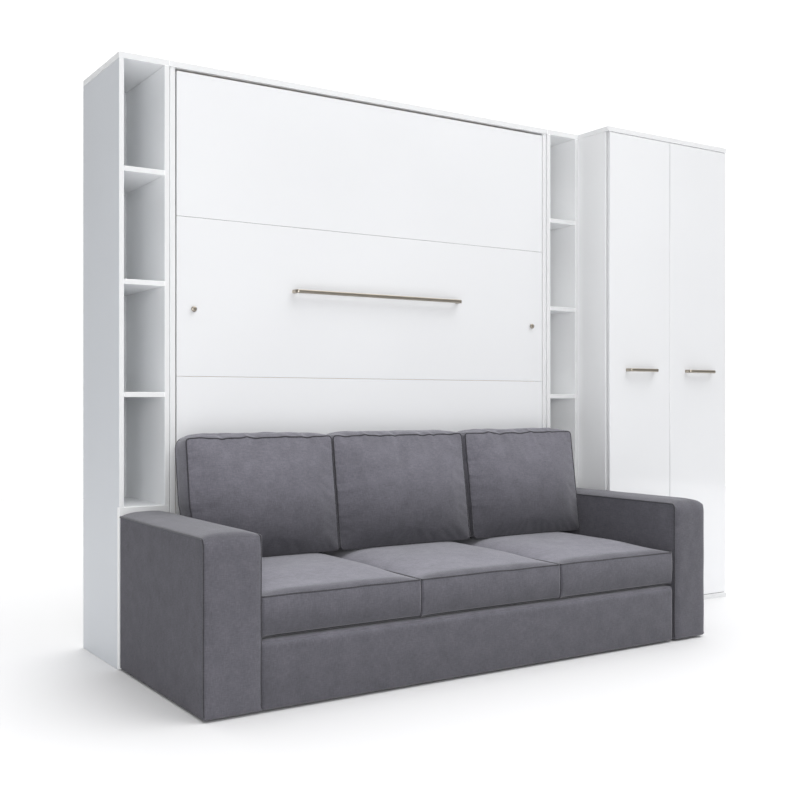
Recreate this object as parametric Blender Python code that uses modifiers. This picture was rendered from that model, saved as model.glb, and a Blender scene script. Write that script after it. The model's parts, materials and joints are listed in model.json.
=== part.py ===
"""Wall bed with sofa, two narrow bookcases and a wardrobe.

A tall cabinet holds a double bed that stands upright behind a stacked board front and folds down
between the arms of the sofa.  Layout sizes are in metres: s runs along the front from the left end,
y runs from the bookcase fronts (zero) to the wall, z runs up from the floor.
"""
import math

import bmesh
import bpy
from mathutils import Matrix, Vector

# Driving sizes of the whole cabinet
HEIGHT = 2.170
CABINET_DEPTH = 0.420
BOARD = 0.018
TOP_BOARD = 0.022
BACK_SHEET = 0.004
FIT_GAP = 0.0003
EDGE_ROUND = 0.001
CUT_OVERRUN = 0.002

# Bookcases, one at each side of the bed
BOOKCASE_WIDTH = 0.185
BOOKCASE_FLOOR_TOP = 0.571
FIRST_SHELF_SHARE = 0.2568
SHELF_PITCH_SHARE = 0.25206
SHELF_COUNT = 3
LOW_FRONT_RAISE = 0.004
UNIT_GAP = 0.005
CONNECTOR_RADIUS = 0.012
CONNECTOR_HEIGHT_SHARES = (0.14, 0.88)
CONNECTOR_DEPTH_SHARES = (0.25, 0.75)

# Bed front, made of stacked boards
FRONT_SIDE_GAP = 0.006
FRONT_TOP_GAP = 0.010
FRONT_RECESS = 0.004
FRONT_BOARD = 0.016
FRONT_COUNT = 4
TOP_FRONT_SHARE = 0.2566
FRONT_PITCH_SHARE = 0.28404
SEAM_GAP = 0.001
BED_BOTTOM = 0.096

# Bed pivot and frame
BED_UNDERSIDE = 0.395
PIVOT_SETBACK = 0.030
PIVOT_PIN_RADIUS = 0.008
PIVOT_PLATE = 0.0045
PIVOT_PLATE_DEPTH = 0.100
PIVOT_PLATE_HEIGHT = 0.140
PIVOT_PIN_SHORT = 0.004
RAIL_WIDTH = 0.030
RAIL_DEPTH = 0.0437
SLAT_COUNT = 14
SLAT_WIDTH = 0.070
SLAT_THICK = 0.010
SLAT_OVERLAP = 0.029
SLAT_TAPE_WIDTH = 0.025
SLAT_TAPE_THICK = 0.003
SLAT_TAPE_SHARES = (-0.25, 0.25)

# Mattress
MATTRESS_WIDTH = 1.600
MATTRESS_MARGIN = 0.0625
MATTRESS_HEAD_GAP = 0.038
MATTRESS_THICK = 0.170
MATTRESS_EDGE_GAP = 0.0005
MATTRESS_FOOT_GAP = 0.004
MATTRESS_CROWN = 0.006
MATTRESS_DRAW = 0.008

# Swing-over legs at the head of the bed
LEG_TUBE_RADIUS = 0.008
LEG_CRANK = 0.032
LEG_SHAFT_SETBACK = 0.041
LEG_SHAFT_DROP = 0.020
LEG_SIDE_INSET = 0.012
LEG_FLOOR_GAP = 0.003
LEG_BEND = 0.014
LEG_BEND_STEPS = 4
BEARING_WIDTH = 0.030
BEARING_WALL = 0.006
BEARING_INSET = 0.110
HEAD_RAIL_HEIGHT = 0.029

# Low and high rails of the bed cabinet
PLINTH_HEIGHT = 0.080
PLINTH_SETBACK = 0.030
UPPER_RAIL_HEIGHT = 0.248

# Turn latches, whose knobs show on the bed front
LATCH_SHARE = 0.57933
LATCH_INSET = 0.0635
KNOB_RADIUS = 0.0103
KNOB_NECK_RADIUS = 0.007
KNOB_REACH = 0.012
KNOB_HEAD = 0.009
SPINDLE_RADIUS = 0.005
CAM_THICK = 0.004
CAM_WIDTH = 0.024
CAM_REACH = 0.078
CAM_PLAY = 0.001
SLOT_REACH_PLAY = 0.0006
TURN_STEPS = 16

# Bar handles
HANDLE_BAR = 0.014
HANDLE_POST = 0.014
BED_HANDLE_LENGTH = 0.790
BED_HANDLE_SHARE = 0.6219
BED_HANDLE_REACH = 0.038
DOOR_HANDLE_LENGTH = 0.182
DOOR_HANDLE_HEIGHT = 1.086
DOOR_HANDLE_REACH = 0.034

# Wardrobe
WARDROBE_WIDTH = 0.783
WARDROBE_REACH = 0.1956
DOOR_BOARD = 0.016
DOOR_BACK_GAP = 0.002
DOOR_REVEAL = 0.008
DOOR_MIDDLE_GAP = 0.003
DOOR_END_GAP = 0.003
DOOR_PIVOT_INSET = 0.005
DOOR_PIN_RADIUS = 0.003
DOOR_PIN_DEPTH = 0.012
WARDROBE_SHELF_DROP = 0.370
WARDROBE_SHELF_SETBACK = 0.012
HANGING_RAIL_DROP = 0.060
HANGING_RAIL_RADIUS = 0.0125

# Sofa
SOFA_REACH = 0.750
SOFA_END_MARGIN = 0.003
RIGHT_END_MARGIN = 0.0008
RIGHT_ARM_GAP = 0.015
GLIDE_HEIGHT = 0.008
GLIDE_RADIUS = 0.020
GLIDE_INSET = 0.080
ARM_WIDTH = 0.187
ARM_HEIGHT = 0.540
ARM_CROWN = 0.017
SEAT_BASE_TOP = 0.2255
SOFA_BACK_THICK = 0.030
SOFA_BACK_GAP = 0.003
SOFA_BACK_TOP = 0.362
SEAT_MIDDLE_WIDTH = 0.609
CUSHION_GAP = 0.002
SEAT_EDGE_TOP = 0.352
SEAT_CROWN = 0.038
SEAT_DRAW = 0.007
SEAT_CROWN_PEAK_SHARE = 0.40
SEAT_REAR_SHARE = 0.97
SEAT_REAR_START_SHARE = 0.72
BACK_CUSHION_BOTTOM = 0.3874
BACK_CUSHION_TOP = 0.816
BACK_FOOT_Y = -0.103
BACK_HEAD_Y = -0.042
BACK_SEAM_THICK = 0.105
BACK_FRONT_CROWN = 0.045
BACK_REAR_CROWN = 0.008
BACK_TOP_CROWN = 0.016
BACK_DRAW = 0.008
RIGHT_BACK_SHIFT = 0.0125

# Axis about which the loose back cushions are laid down in front of the sofa
CUSHION_AXIS_Y = -0.4875
CUSHION_AXIS_Z = -0.2625

# Sizes worked out from the driving sizes
SIDE_TOP = HEIGHT - TOP_BOARD
BED_FRONT_WIDTH = MATTRESS_WIDTH + MATTRESS_MARGIN * 2
BED_SIDE_START = BOOKCASE_WIDTH + UNIT_GAP
BED_FRONT_START = BED_SIDE_START + BOARD + FRONT_SIDE_GAP
RUN_WIDTH = BED_FRONT_START * 2 + BED_FRONT_WIDTH
RUN_MIDDLE = RUN_WIDTH / 2
WARDROBE_START = RUN_WIDTH + FIT_GAP
TOTAL_WIDTH = WARDROBE_START + WARDROBE_WIDTH
CARCASS_FRONT = DOOR_BOARD + DOOR_BACK_GAP - WARDROBE_REACH
BACK_FRONT = CABINET_DEPTH - BACK_SHEET
CARCASS_BACK = BACK_FRONT - FIT_GAP
BED_TOP = SIDE_TOP - FRONT_TOP_GAP
BED_LENGTH = BED_TOP - BED_BOTTOM
LATCH_HEIGHT = BED_BOTTOM + BED_LENGTH * LATCH_SHARE
BED_HANDLE_HEIGHT = BED_BOTTOM + BED_LENGTH * BED_HANDLE_SHARE
MATTRESS_LENGTH = BED_LENGTH - MATTRESS_FOOT_GAP - MATTRESS_HEAD_GAP
SHELF_SPACE = SIDE_TOP - BOOKCASE_FLOOR_TOP
FIRST_SHELF_TOP = BOOKCASE_FLOOR_TOP + SHELF_SPACE * FIRST_SHELF_SHARE
SHELF_PITCH = SHELF_SPACE * SHELF_PITCH_SHARE
WARDROBE_SHELF_TOP = HEIGHT - WARDROBE_SHELF_DROP
PIVOT_Y = FRONT_RECESS + PIVOT_SETBACK
PIVOT_Z = BED_UNDERSIDE + PIVOT_SETBACK
FRONT_BACK_Y = FRONT_RECESS + FRONT_BOARD
RAIL_FRONT_Y = FRONT_BACK_Y + FIT_GAP
RAIL_BACK_Y = RAIL_FRONT_Y + RAIL_DEPTH
SLAT_FRONT_Y = RAIL_BACK_Y + FIT_GAP
MATTRESS_FRONT_Y = SLAT_FRONT_Y + SLAT_THICK + FIT_GAP
RAIL_INNER = MATTRESS_WIDTH / 2 + MATTRESS_EDGE_GAP
RAIL_OUTER = RAIL_INNER + RAIL_WIDTH
LEG_SHAFT_Y = PIVOT_Y + LEG_SHAFT_SETBACK
LEG_SHAFT_Z = BED_TOP - LEG_SHAFT_DROP
LEG_OFFSET = BED_FRONT_WIDTH / 2 - LEG_SIDE_INSET
LEG_LENGTH = BED_UNDERSIDE + PIVOT_SETBACK + LEG_SHAFT_SETBACK - LEG_FLOOR_GAP
HEAD_RAIL_BOTTOM = LEG_SHAFT_Z - HEAD_RAIL_HEIGHT / 2
RAIL_TOP = HEAD_RAIL_BOTTOM - FIT_GAP
RAIL_BOTTOM = BED_BOTTOM + MATTRESS_FOOT_GAP
DOOR_WIDTH = (WARDROBE_WIDTH - DOOR_MIDDLE_GAP) / 2 - DOOR_REVEAL
ARM_INNER = SOFA_END_MARGIN + ARM_WIDTH
SEAT_SIDE_WIDTH = (RUN_WIDTH - ARM_INNER * 2 - SEAT_MIDDLE_WIDTH) / 2
SOFA_BACK_FRONT = -(SOFA_BACK_GAP + SOFA_BACK_THICK)

parts = None
cutters = None


def place(s, y, z):
    """World point of a layout point; the world origin is under the middle of the whole box."""
    return Vector((s - TOTAL_WIDTH / 2, y - (CABINET_DEPTH - SOFA_REACH) / 2, z))


def mirrored(low, high):
    """The same stretch of the front, seen from the right end of the bed run."""
    return (RUN_WIDTH - high, RUN_WIDTH - low)


def clear_scene():
    """Removes whatever the opened file holds and makes the two collections."""
    global parts, cutters
    for thing in list(bpy.data.objects):
        bpy.data.objects.remove(thing, do_unlink=True)
    parts = bpy.data.collections.new("wall_bed_with_sofa")
    cutters = bpy.data.collections.new("cutters")
    bpy.context.scene.collection.children.link(parts)
    bpy.context.scene.collection.children.link(cutters)


def finish(name, colour, roughness, metallic=0.0):
    """A material with one Principled shader; colour is red, green and blue from 0 to 1."""
    material = bpy.data.materials.new(name)
    material.use_nodes = True
    shader = material.node_tree.nodes["Principled BSDF"]
    shader.inputs["Base Color"].default_value = (*colour, 1)
    shader.inputs["Roughness"].default_value = roughness
    shader.inputs["Metallic"].default_value = metallic
    return material


def add_piece(name, mesh, material, spot, pivot=None):
    """Links an object for one sub-part and hangs it on its pivot empty, if it moves."""
    piece = bpy.data.objects.new(name, mesh)
    mesh.materials.append(material)
    parts.objects.link(piece)
    if pivot:
        piece.parent = pivot
        piece.location = spot - pivot.location
    else:
        piece.location = spot
    return piece


def add_pivot(name, s, y, z):
    """An empty on a joint's axis, the parent of what turns there."""
    pivot = bpy.data.objects.new(name, None)
    pivot.location = place(s, y, z)
    parts.objects.link(pivot)
    return pivot


def box_mesh(name, ranges, middle):
    """A mesh of closed boxes, each given by its stretches along s, y and z."""
    mesh = bpy.data.meshes.new(name)
    cage = bmesh.new()
    for along, across, up in ranges:
        low = place(along[0], across[0], up[0])
        high = place(along[1], across[1], up[1])
        made = bmesh.ops.create_cube(cage, size=1)
        bmesh.ops.scale(cage, vec=high - low, verts=made["verts"])
        bmesh.ops.translate(cage, vec=(low + high) / 2 - middle, verts=made["verts"])
    cage.to_mesh(mesh)
    cage.free()
    return mesh


def round_edges(piece, width=EDGE_ROUND):
    """One narrow chamfer on every edge, as on a banded board."""
    bevel = piece.modifiers.new("edge", "BEVEL")
    bevel.width = width
    bevel.segments = 1
    bevel.limit_method = "ANGLE"


def slab(name, material, along, across, up, pivot=None):
    """One board with chamfered edges."""
    middle = (place(along[0], across[0], up[0]) + place(along[1], across[1], up[1])) / 2
    piece = add_piece(name, box_mesh(name, [(along, across, up)], middle), material, middle, pivot)
    round_edges(piece)
    return piece


def cylinder_mesh(name, discs, middle, sides=TURN_STEPS):
    """A mesh of closed cylinders: (start point, end point, radius) in world metres."""
    mesh = bpy.data.meshes.new(name)
    cage = bmesh.new()
    for start, end, radius in discs:
        run = end - start
        turn = run.to_track_quat("Z", "Y").to_matrix().to_4x4()
        matrix = Matrix.Translation((start + end) / 2 - middle) @ turn
        bmesh.ops.create_cone(cage, cap_ends=True, segments=sides, radius1=radius, radius2=radius,
                              depth=run.length, matrix=matrix)
    cage.to_mesh(mesh)
    cage.free()
    mesh.shade_smooth()
    mesh.set_sharp_from_angle(angle=math.radians(40))
    return mesh


def rod(name, material, start, end, radius):
    """One round bar."""
    middle = (start + end) / 2
    return add_piece(name, cylinder_mesh(name, [(start, end, radius)], middle), material, middle)


def helper(name, mesh, spot):
    """An object that only cuts or joins another, left out of the model."""
    tool = bpy.data.objects.new(name, mesh)
    tool.location = spot
    tool.hide_render = True
    tool.display_type = "WIRE"
    cutters.objects.link(tool)
    return tool


def combine(piece, tool, operation):
    """Cuts the tool out of the piece, or joins it on."""
    change = piece.modifiers.new(operation.lower(), "BOOLEAN")
    change.operation = operation
    change.object = tool


def cut_boxes(piece, ranges):
    """Cuts box-shaped pockets out of a piece."""
    spot = place(ranges[0][0][0], ranges[0][1][0], ranges[0][2][0])
    combine(piece, helper(piece.name + "_pocket", box_mesh("pocket", ranges, spot), spot), "DIFFERENCE")


def cut_discs(piece, discs):
    """Drills round holes in a piece."""
    spot = discs[0][0]
    combine(piece, helper(piece.name + "_drill", cylinder_mesh("drill", discs, spot), spot), "DIFFERENCE")


def join_boxes(piece, ranges):
    """Joins box-shaped bosses on to a piece."""
    spot = place(ranges[0][0][0], ranges[0][1][0], ranges[0][2][0])
    combine(piece, helper(piece.name + "_block", box_mesh("block", ranges, spot), spot), "UNION")


def join_discs(piece, discs):
    """Joins round bosses on to a piece."""
    spot = discs[0][0]
    combine(piece, helper(piece.name + "_boss", cylinder_mesh("boss", discs, spot), spot), "UNION")


def soft_block(name, material, along, across, up, cut_shares, form, pivot=None):
    """A padded piece: a coarse cage of a box, bent by form(u, v, w) and subdivided once.

    The shares u, v and w run from 0 to 1 along s, y and z; form gives back a shift in metres.
    """
    low = place(along[0], across[0], up[0])
    high = place(along[1], across[1], up[1])
    size = high - low
    cage = bmesh.new()
    bmesh.ops.create_cube(cage, size=1)
    bmesh.ops.translate(cage, vec=(0.5, 0.5, 0.5), verts=cage.verts)
    for axis, shares in enumerate(cut_shares):
        normal = Vector((axis == 0, axis == 1, axis == 2))
        for share in shares:
            everything = cage.verts[:] + cage.edges[:] + cage.faces[:]
            bmesh.ops.bisect_plane(cage, geom=everything, plane_co=normal * share, plane_no=normal)
    for vertex in cage.verts:
        u, v, w = vertex.co
        shift = Vector(form(u, v, w))
        vertex.co = Vector(((u - 0.5) * size.x, (v - 0.5) * size.y, (w - 0.5) * size.z)) + shift
    mesh = bpy.data.meshes.new(name)
    cage.to_mesh(mesh)
    cage.free()
    mesh.shade_smooth()
    piece = add_piece(name, mesh, material, (low + high) / 2, pivot)
    soften = piece.modifiers.new("pad", "SUBSURF")
    soften.levels = 1
    soften.render_levels = 1
    return piece


def hump(share, power):
    """1 in the middle of a stretch and 0 at its two ends; a higher power is flatter on top."""
    return 1 - abs(2 * share - 1) ** power


def smooth_step(start, end, share):
    """0 before start, 1 after end and a smooth rise between."""
    t = min(max((share - start) / (end - start), 0), 1)
    return t * t * (3 - 2 * t)


def build_bookcase(side, flip, white, sheet):
    """One narrow bookcase: open shelves over a closed front, with an overlaid back sheet."""
    def span(low, high):
        return mirrored(low, high) if flip else (low, high)

    depth = (0, CARCASS_BACK)
    outer = slab(f"bookcase_{side}_outer_side", white, span(0, BOARD), depth, (0, SIDE_TOP - FIT_GAP))
    inner = slab(f"bookcase_{side}_inner_side", white, span(BOOKCASE_WIDTH - BOARD, BOOKCASE_WIDTH),
                 depth, (0, SIDE_TOP - FIT_GAP))
    notch = (-CUT_OVERRUN, BOARD + FIT_GAP), (-CUT_OVERRUN, BOOKCASE_FLOOR_TOP + FIT_GAP)
    cut_boxes(outer, [(span(-CUT_OVERRUN, BOARD + CUT_OVERRUN), *notch)])
    cut_boxes(inner, [(span(BOOKCASE_WIDTH - BOARD - CUT_OVERRUN, BOOKCASE_WIDTH + CUT_OVERRUN), *notch)])
    slab(f"bookcase_{side}_top", white, span(0, BOOKCASE_WIDTH), depth, (SIDE_TOP, HEIGHT))
    slab(f"bookcase_{side}_back", sheet, span(0, BOOKCASE_WIDTH), (BACK_FRONT, CABINET_DEPTH), (0, HEIGHT))
    slab(f"bookcase_{side}_low_front", white, span(0, BOOKCASE_WIDTH), (0, BOARD),
         (LOW_FRONT_RAISE, BOOKCASE_FLOOR_TOP))
    between = span(BOARD + FIT_GAP, BOOKCASE_WIDTH - BOARD - FIT_GAP)
    slab(f"bookcase_{side}_floor", white, between, (BOARD + FIT_GAP * 2, CARCASS_BACK),
         (BOOKCASE_FLOOR_TOP - BOARD, BOOKCASE_FLOOR_TOP))
    for number in range(SHELF_COUNT):
        shelf_top = FIRST_SHELF_TOP + SHELF_PITCH * number
        slab(f"bookcase_{side}_shelf_{number + 1}", white, between, depth, (shelf_top - BOARD, shelf_top))
    bosses = []
    for depth_share in CONNECTOR_DEPTH_SHARES:
        for height_share in CONNECTOR_HEIGHT_SHARES:
            spot = (CABINET_DEPTH * depth_share, HEIGHT * height_share)
            ends = span(BOOKCASE_WIDTH - BOARD / 2, BOOKCASE_WIDTH + UNIT_GAP - FIT_GAP)
            bosses.append((place(ends[0], *spot), place(ends[1], *spot), CONNECTOR_RADIUS))
    join_discs(inner, bosses)


def build_bed_cabinet(white, steel):
    """The open-backed case that the bed stands in, with its rails and pivot plates."""
    side = (BED_SIDE_START, BED_SIDE_START + BOARD)
    depth = (FRONT_RECESS, CABINET_DEPTH)
    inside = (side[1] + FIT_GAP, RUN_WIDTH - side[1] - FIT_GAP)
    knob = BED_FRONT_START + LATCH_INSET
    tip = math.hypot(CAM_REACH, CAM_WIDTH / 2) + SLOT_REACH_PLAY
    fall = math.sqrt(tip ** 2 - (knob - side[1]) ** 2) + CAM_WIDTH / 2
    slot_y = (RAIL_FRONT_Y - CAM_PLAY, RAIL_FRONT_Y + CAM_THICK + CAM_PLAY)
    slot_z = (LATCH_HEIGHT - fall, LATCH_HEIGHT + CAM_WIDTH / 2 + CAM_PLAY)
    slot = (knob - tip, side[1] + CUT_OVERRUN)
    left = slab("bed_cabinet_side_left", white, side, depth, (0, SIDE_TOP - FIT_GAP))
    right = slab("bed_cabinet_side_right", white, mirrored(*side), depth, (0, SIDE_TOP - FIT_GAP))
    cut_boxes(left, [(slot, slot_y, slot_z)])
    cut_boxes(right, [(mirrored(*slot), slot_y, slot_z)])
    slab("bed_cabinet_top", white, (BOOKCASE_WIDTH + FIT_GAP, RUN_WIDTH - BOOKCASE_WIDTH - FIT_GAP),
         (0, CABINET_DEPTH), (SIDE_TOP, HEIGHT))
    slab("bed_cabinet_plinth", white, inside, (PLINTH_SETBACK, PLINTH_SETBACK + BOARD), (0, PLINTH_HEIGHT))
    slab("upper_wall_rail", white, inside, (CABINET_DEPTH - BOARD, CABINET_DEPTH),
         (SIDE_TOP - FIT_GAP - UPPER_RAIL_HEIGHT, SIDE_TOP - FIT_GAP))
    build_pivot_plate("left", steel, 1, inside[0])
    build_pivot_plate("right", steel, -1, inside[1])


def build_pivot_plate(side, steel, way, start):
    """A steel plate on the cabinet side, whose pin carries the bed; way points into the bed."""
    ends = sorted((start, start + way * PIVOT_PLATE))
    front = PIVOT_Y - PIVOT_PIN_RADIUS - CUT_OVERRUN
    low = PIVOT_Z - PIVOT_PLATE_HEIGHT / 2
    plate = slab(f"pivot_plate_{side}", steel, ends, (front, front + PIVOT_PLATE_DEPTH),
                 (low, low + PIVOT_PLATE_HEIGHT))
    reach = RUN_MIDDLE - way * (RAIL_INNER + PIVOT_PIN_SHORT)
    root = place(start + way * PIVOT_PLATE / 2, PIVOT_Y, PIVOT_Z)
    join_discs(plate, [(root, place(reach, PIVOT_Y, PIVOT_Z), PIVOT_PIN_RADIUS)])


def build_wardrobe(white, gloss, sheet, steel, nickel):
    """The wardrobe with its shelf, hanging rail and two doors on pivot pins."""
    start = WARDROBE_START
    end = TOTAL_WIDTH
    sides = (TOP_BOARD + FIT_GAP, SIDE_TOP - FIT_GAP)
    depth = (CARCASS_FRONT, CARCASS_BACK)
    slab("wardrobe_side_left", white, (start, start + BOARD), depth, sides)
    slab("wardrobe_side_right", white, (end - BOARD, end), depth, sides)
    whole = (-WARDROBE_REACH, CARCASS_BACK)
    top = slab("wardrobe_top", white, (start, end), whole, (SIDE_TOP, HEIGHT))
    base = slab("wardrobe_base", white, (start, end), whole, (0, TOP_BOARD))
    slab("wardrobe_back", sheet, (start, end), (BACK_FRONT, CABINET_DEPTH), (0, HEIGHT))
    inside = (start + BOARD + FIT_GAP, end - BOARD - FIT_GAP)
    slab("wardrobe_shelf", white, inside, (CARCASS_FRONT + WARDROBE_SHELF_SETBACK, CARCASS_BACK),
         (WARDROBE_SHELF_TOP - BOARD, WARDROBE_SHELF_TOP))
    rail = ((CARCASS_FRONT + CARCASS_BACK) / 2, WARDROBE_SHELF_TOP - BOARD - HANGING_RAIL_DROP)
    rod("hanging_rail", steel, place(inside[0], *rail), place(inside[1], *rail), HANGING_RAIL_RADIUS)
    axes = [build_door("left", gloss, nickel, start + DOOR_REVEAL, 1),
            build_door("right", gloss, nickel, end - DOOR_REVEAL, -1)]
    hole = DOOR_PIN_RADIUS + FIT_GAP
    cut_discs(top, [(place(*axis, SIDE_TOP - CUT_OVERRUN), place(*axis, SIDE_TOP + DOOR_PIN_DEPTH + FIT_GAP), hole)
                    for axis in axes])
    cut_discs(base, [(place(*axis, TOP_BOARD - DOOR_PIN_DEPTH - FIT_GAP), place(*axis, TOP_BOARD + CUT_OVERRUN), hole)
                     for axis in axes])


def build_door(side, gloss, nickel, edge, way):
    """One door with its pivot pins and bar handle; way points from the hinge edge inwards."""
    front = -WARDROBE_REACH
    across = (front, front + DOOR_BOARD)
    low = TOP_BOARD + DOOR_END_GAP
    high = SIDE_TOP - DOOR_END_GAP
    axis = (edge + way * DOOR_PIVOT_INSET, front + DOOR_BOARD / 2)
    pivot = add_pivot(f"door_{side}_axis", *axis, low)
    span = sorted((edge, edge + way * DOOR_WIDTH))
    door = slab(f"door_{side}", gloss, span, across, (low, high), pivot)
    join_discs(door, [(place(*axis, TOP_BOARD - DOOR_PIN_DEPTH), place(*axis, low + DOOR_PIN_DEPTH), DOOR_PIN_RADIUS),
                      (place(*axis, high - DOOR_PIN_DEPTH), place(*axis, SIDE_TOP + DOOR_PIN_DEPTH), DOOR_PIN_RADIUS)])
    middle = edge + way * DOOR_WIDTH / 2
    build_handle(f"door_handle_{side}", nickel, middle, DOOR_HANDLE_LENGTH, front, DOOR_HANDLE_REACH,
                 DOOR_HANDLE_HEIGHT, pivot)
    return axis


def build_handle(name, nickel, middle, length, face_y, reach, height, pivot):
    """A square bar on two square posts, standing on a face that looks towards the room."""
    ends = (middle - length / 2, middle + length / 2)
    up = (height - HANDLE_BAR / 2, height + HANDLE_BAR / 2)
    bar_y = (face_y - reach, face_y - reach + HANDLE_BAR)
    bar = slab(name, nickel, ends, bar_y, up, pivot)
    post_y = (face_y - reach + HANDLE_BAR / 2, face_y - FIT_GAP)
    post_z = (height - HANDLE_POST / 2, height + HANDLE_POST / 2)
    posts = [((ends[0] + FIT_GAP, ends[0] + HANDLE_POST), post_y, post_z),
             ((ends[1] - HANDLE_POST, ends[1] - FIT_GAP), post_y, post_z)]
    join_boxes(bar, posts)


def front_seams():
    """Heights of the bed front's board joints, from the top down, with its two ends."""
    seams = [BED_TOP, BED_TOP - BED_LENGTH * TOP_FRONT_SHARE]
    for step in range(1, FRONT_COUNT - 1):
        seams.append(seams[1] - BED_LENGTH * FRONT_PITCH_SHARE * step)
    return [*seams, BED_BOTTOM]


def build_bed(gloss, wood, steel, nickel, ticking):
    """The folding bed: its front boards, frame, slats, mattress, handle and latches."""
    pivot = add_pivot("bed_axis", RUN_MIDDLE, PIVOT_Y, PIVOT_Z)
    width = (BED_FRONT_START, BED_FRONT_START + BED_FRONT_WIDTH)
    knobs = (width[0] + LATCH_INSET, width[1] - LATCH_INSET)
    across = (FRONT_RECESS, FRONT_BACK_Y)
    seams = front_seams()
    for number in range(FRONT_COUNT):
        high = seams[number] - (SEAM_GAP / 2 if number else 0)
        low = seams[number + 1] + (SEAM_GAP / 2 if number < FRONT_COUNT - 1 else 0)
        board = slab(f"front_board_{number + 1}", gloss, width, across, (low, high), pivot)
        if low < LATCH_HEIGHT < high:
            cut_discs(board, [(place(s, across[0] - CUT_OVERRUN, LATCH_HEIGHT),
                               place(s, across[1] + CUT_OVERRUN, LATCH_HEIGHT),
                               SPINDLE_RADIUS + FIT_GAP) for s in knobs])
    build_frame(pivot, wood, steel)
    build_slats(pivot, wood)
    build_mattress(pivot, ticking)
    build_handle("bed_handle", nickel, RUN_MIDDLE, BED_HANDLE_LENGTH, FRONT_RECESS, BED_HANDLE_REACH,
                 BED_HANDLE_HEIGHT, pivot)
    build_latch("left", nickel, knobs[0], pivot)
    build_latch("right", nickel, knobs[1], pivot)
    build_legs(pivot, steel)


def build_frame(pivot, wood, steel):
    """Side rails, the head rail and a centre beam with its foot piece, behind the front boards."""
    across = (RAIL_FRONT_Y, RAIL_BACK_Y)
    up = (RAIL_BOTTOM, RAIL_TOP)
    sides = ((RUN_MIDDLE - RAIL_OUTER, RUN_MIDDLE - RAIL_INNER), (RUN_MIDDLE + RAIL_INNER, RUN_MIDDLE + RAIL_OUTER))
    notch_y = (RAIL_FRONT_Y - CUT_OVERRUN, RAIL_FRONT_Y + CAM_THICK + CAM_PLAY)
    reach = math.hypot(CAM_REACH, CAM_WIDTH / 2)
    corner = math.hypot(CAM_WIDTH / 2, CAM_WIDTH / 2)
    notch_z = (LATCH_HEIGHT - reach - CAM_PLAY, LATCH_HEIGHT + corner + CAM_PLAY)
    for name, span in zip(("side_rail_left", "side_rail_right"), sides):
        rail = slab(name, wood, span, across, up, pivot)
        wide = (span[0] - CUT_OVERRUN, span[1] + CUT_OVERRUN)
        cut_boxes(rail, [(wide, notch_y, notch_z)])
        cut_discs(rail, [(place(wide[0], PIVOT_Y, PIVOT_Z), place(wide[1], PIVOT_Y, PIVOT_Z),
                          PIVOT_PIN_RADIUS + FIT_GAP)])
    inner = (sides[0][1] + FIT_GAP, sides[1][0] - FIT_GAP)
    beam = slab("centre_beam", wood, (RUN_MIDDLE - RAIL_WIDTH / 2, RUN_MIDDLE + RAIL_WIDTH / 2), across, up, pivot)
    foot_y = (across[0] + EDGE_ROUND * 2, across[1] - EDGE_ROUND * 2)
    join_boxes(beam, [(inner, foot_y, (RAIL_BOTTOM + EDGE_ROUND * 2, RAIL_BOTTOM + RAIL_WIDTH))])
    head_z = (HEAD_RAIL_BOTTOM, HEAD_RAIL_BOTTOM + HEAD_RAIL_HEIGHT)
    head = slab("head_rail", wood, (sides[0][0], sides[1][1]), across, head_z, pivot)
    hole = LEG_TUBE_RADIUS + FIT_GAP
    block_y = (RAIL_BACK_Y - CUT_OVERRUN, LEG_SHAFT_Y + hole + BEARING_WALL)
    block_z = (head_z[0] + EDGE_ROUND * 2, head_z[1] - EDGE_ROUND * 2)
    starts = (sides[0][0] + BEARING_INSET, sides[1][1] - BEARING_INSET - BEARING_WIDTH)
    blocks = [((start, start + BEARING_WIDTH), block_y, block_z) for start in starts]
    join_boxes(head, blocks)
    cut_discs(head, [(place(start - CUT_OVERRUN, LEG_SHAFT_Y, LEG_SHAFT_Z),
                      place(start + BEARING_WIDTH + CUT_OVERRUN, LEG_SHAFT_Y, LEG_SHAFT_Z), hole)
                     for start in starts])


def build_slats(pivot, wood):
    """A roll of slats on the back of the rails, held at even distances by two tapes."""
    along = (RUN_MIDDLE - RAIL_INNER - SLAT_OVERLAP, RUN_MIDDLE + RAIL_INNER + SLAT_OVERLAP)
    across = (SLAT_FRONT_Y, SLAT_FRONT_Y + SLAT_THICK)
    pitch = (RAIL_TOP - RAIL_BOTTOM) / SLAT_COUNT
    starts = [RAIL_BOTTOM + pitch * (number + 0.5) - SLAT_WIDTH / 2 for number in range(SLAT_COUNT)]
    middle = place(along[0], across[0], starts[0])
    ranges = [(along, across, (start, start + SLAT_WIDTH)) for start in starts]
    slats = add_piece("slats", box_mesh("slats", ranges, middle), wood, middle, pivot)
    tape_y = ((across[0] + across[1] - SLAT_TAPE_THICK) / 2, (across[0] + across[1] + SLAT_TAPE_THICK) / 2)
    tape_z = (starts[0] + SLAT_TAPE_WIDTH, starts[-1] + SLAT_WIDTH - SLAT_TAPE_WIDTH)
    tapes = []
    for share in SLAT_TAPE_SHARES:
        s = RUN_MIDDLE + share * MATTRESS_WIDTH - SLAT_TAPE_WIDTH / 2
        tapes.append(((s, s + SLAT_TAPE_WIDTH), tape_y, tape_z))
    join_boxes(slats, tapes)


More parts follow.
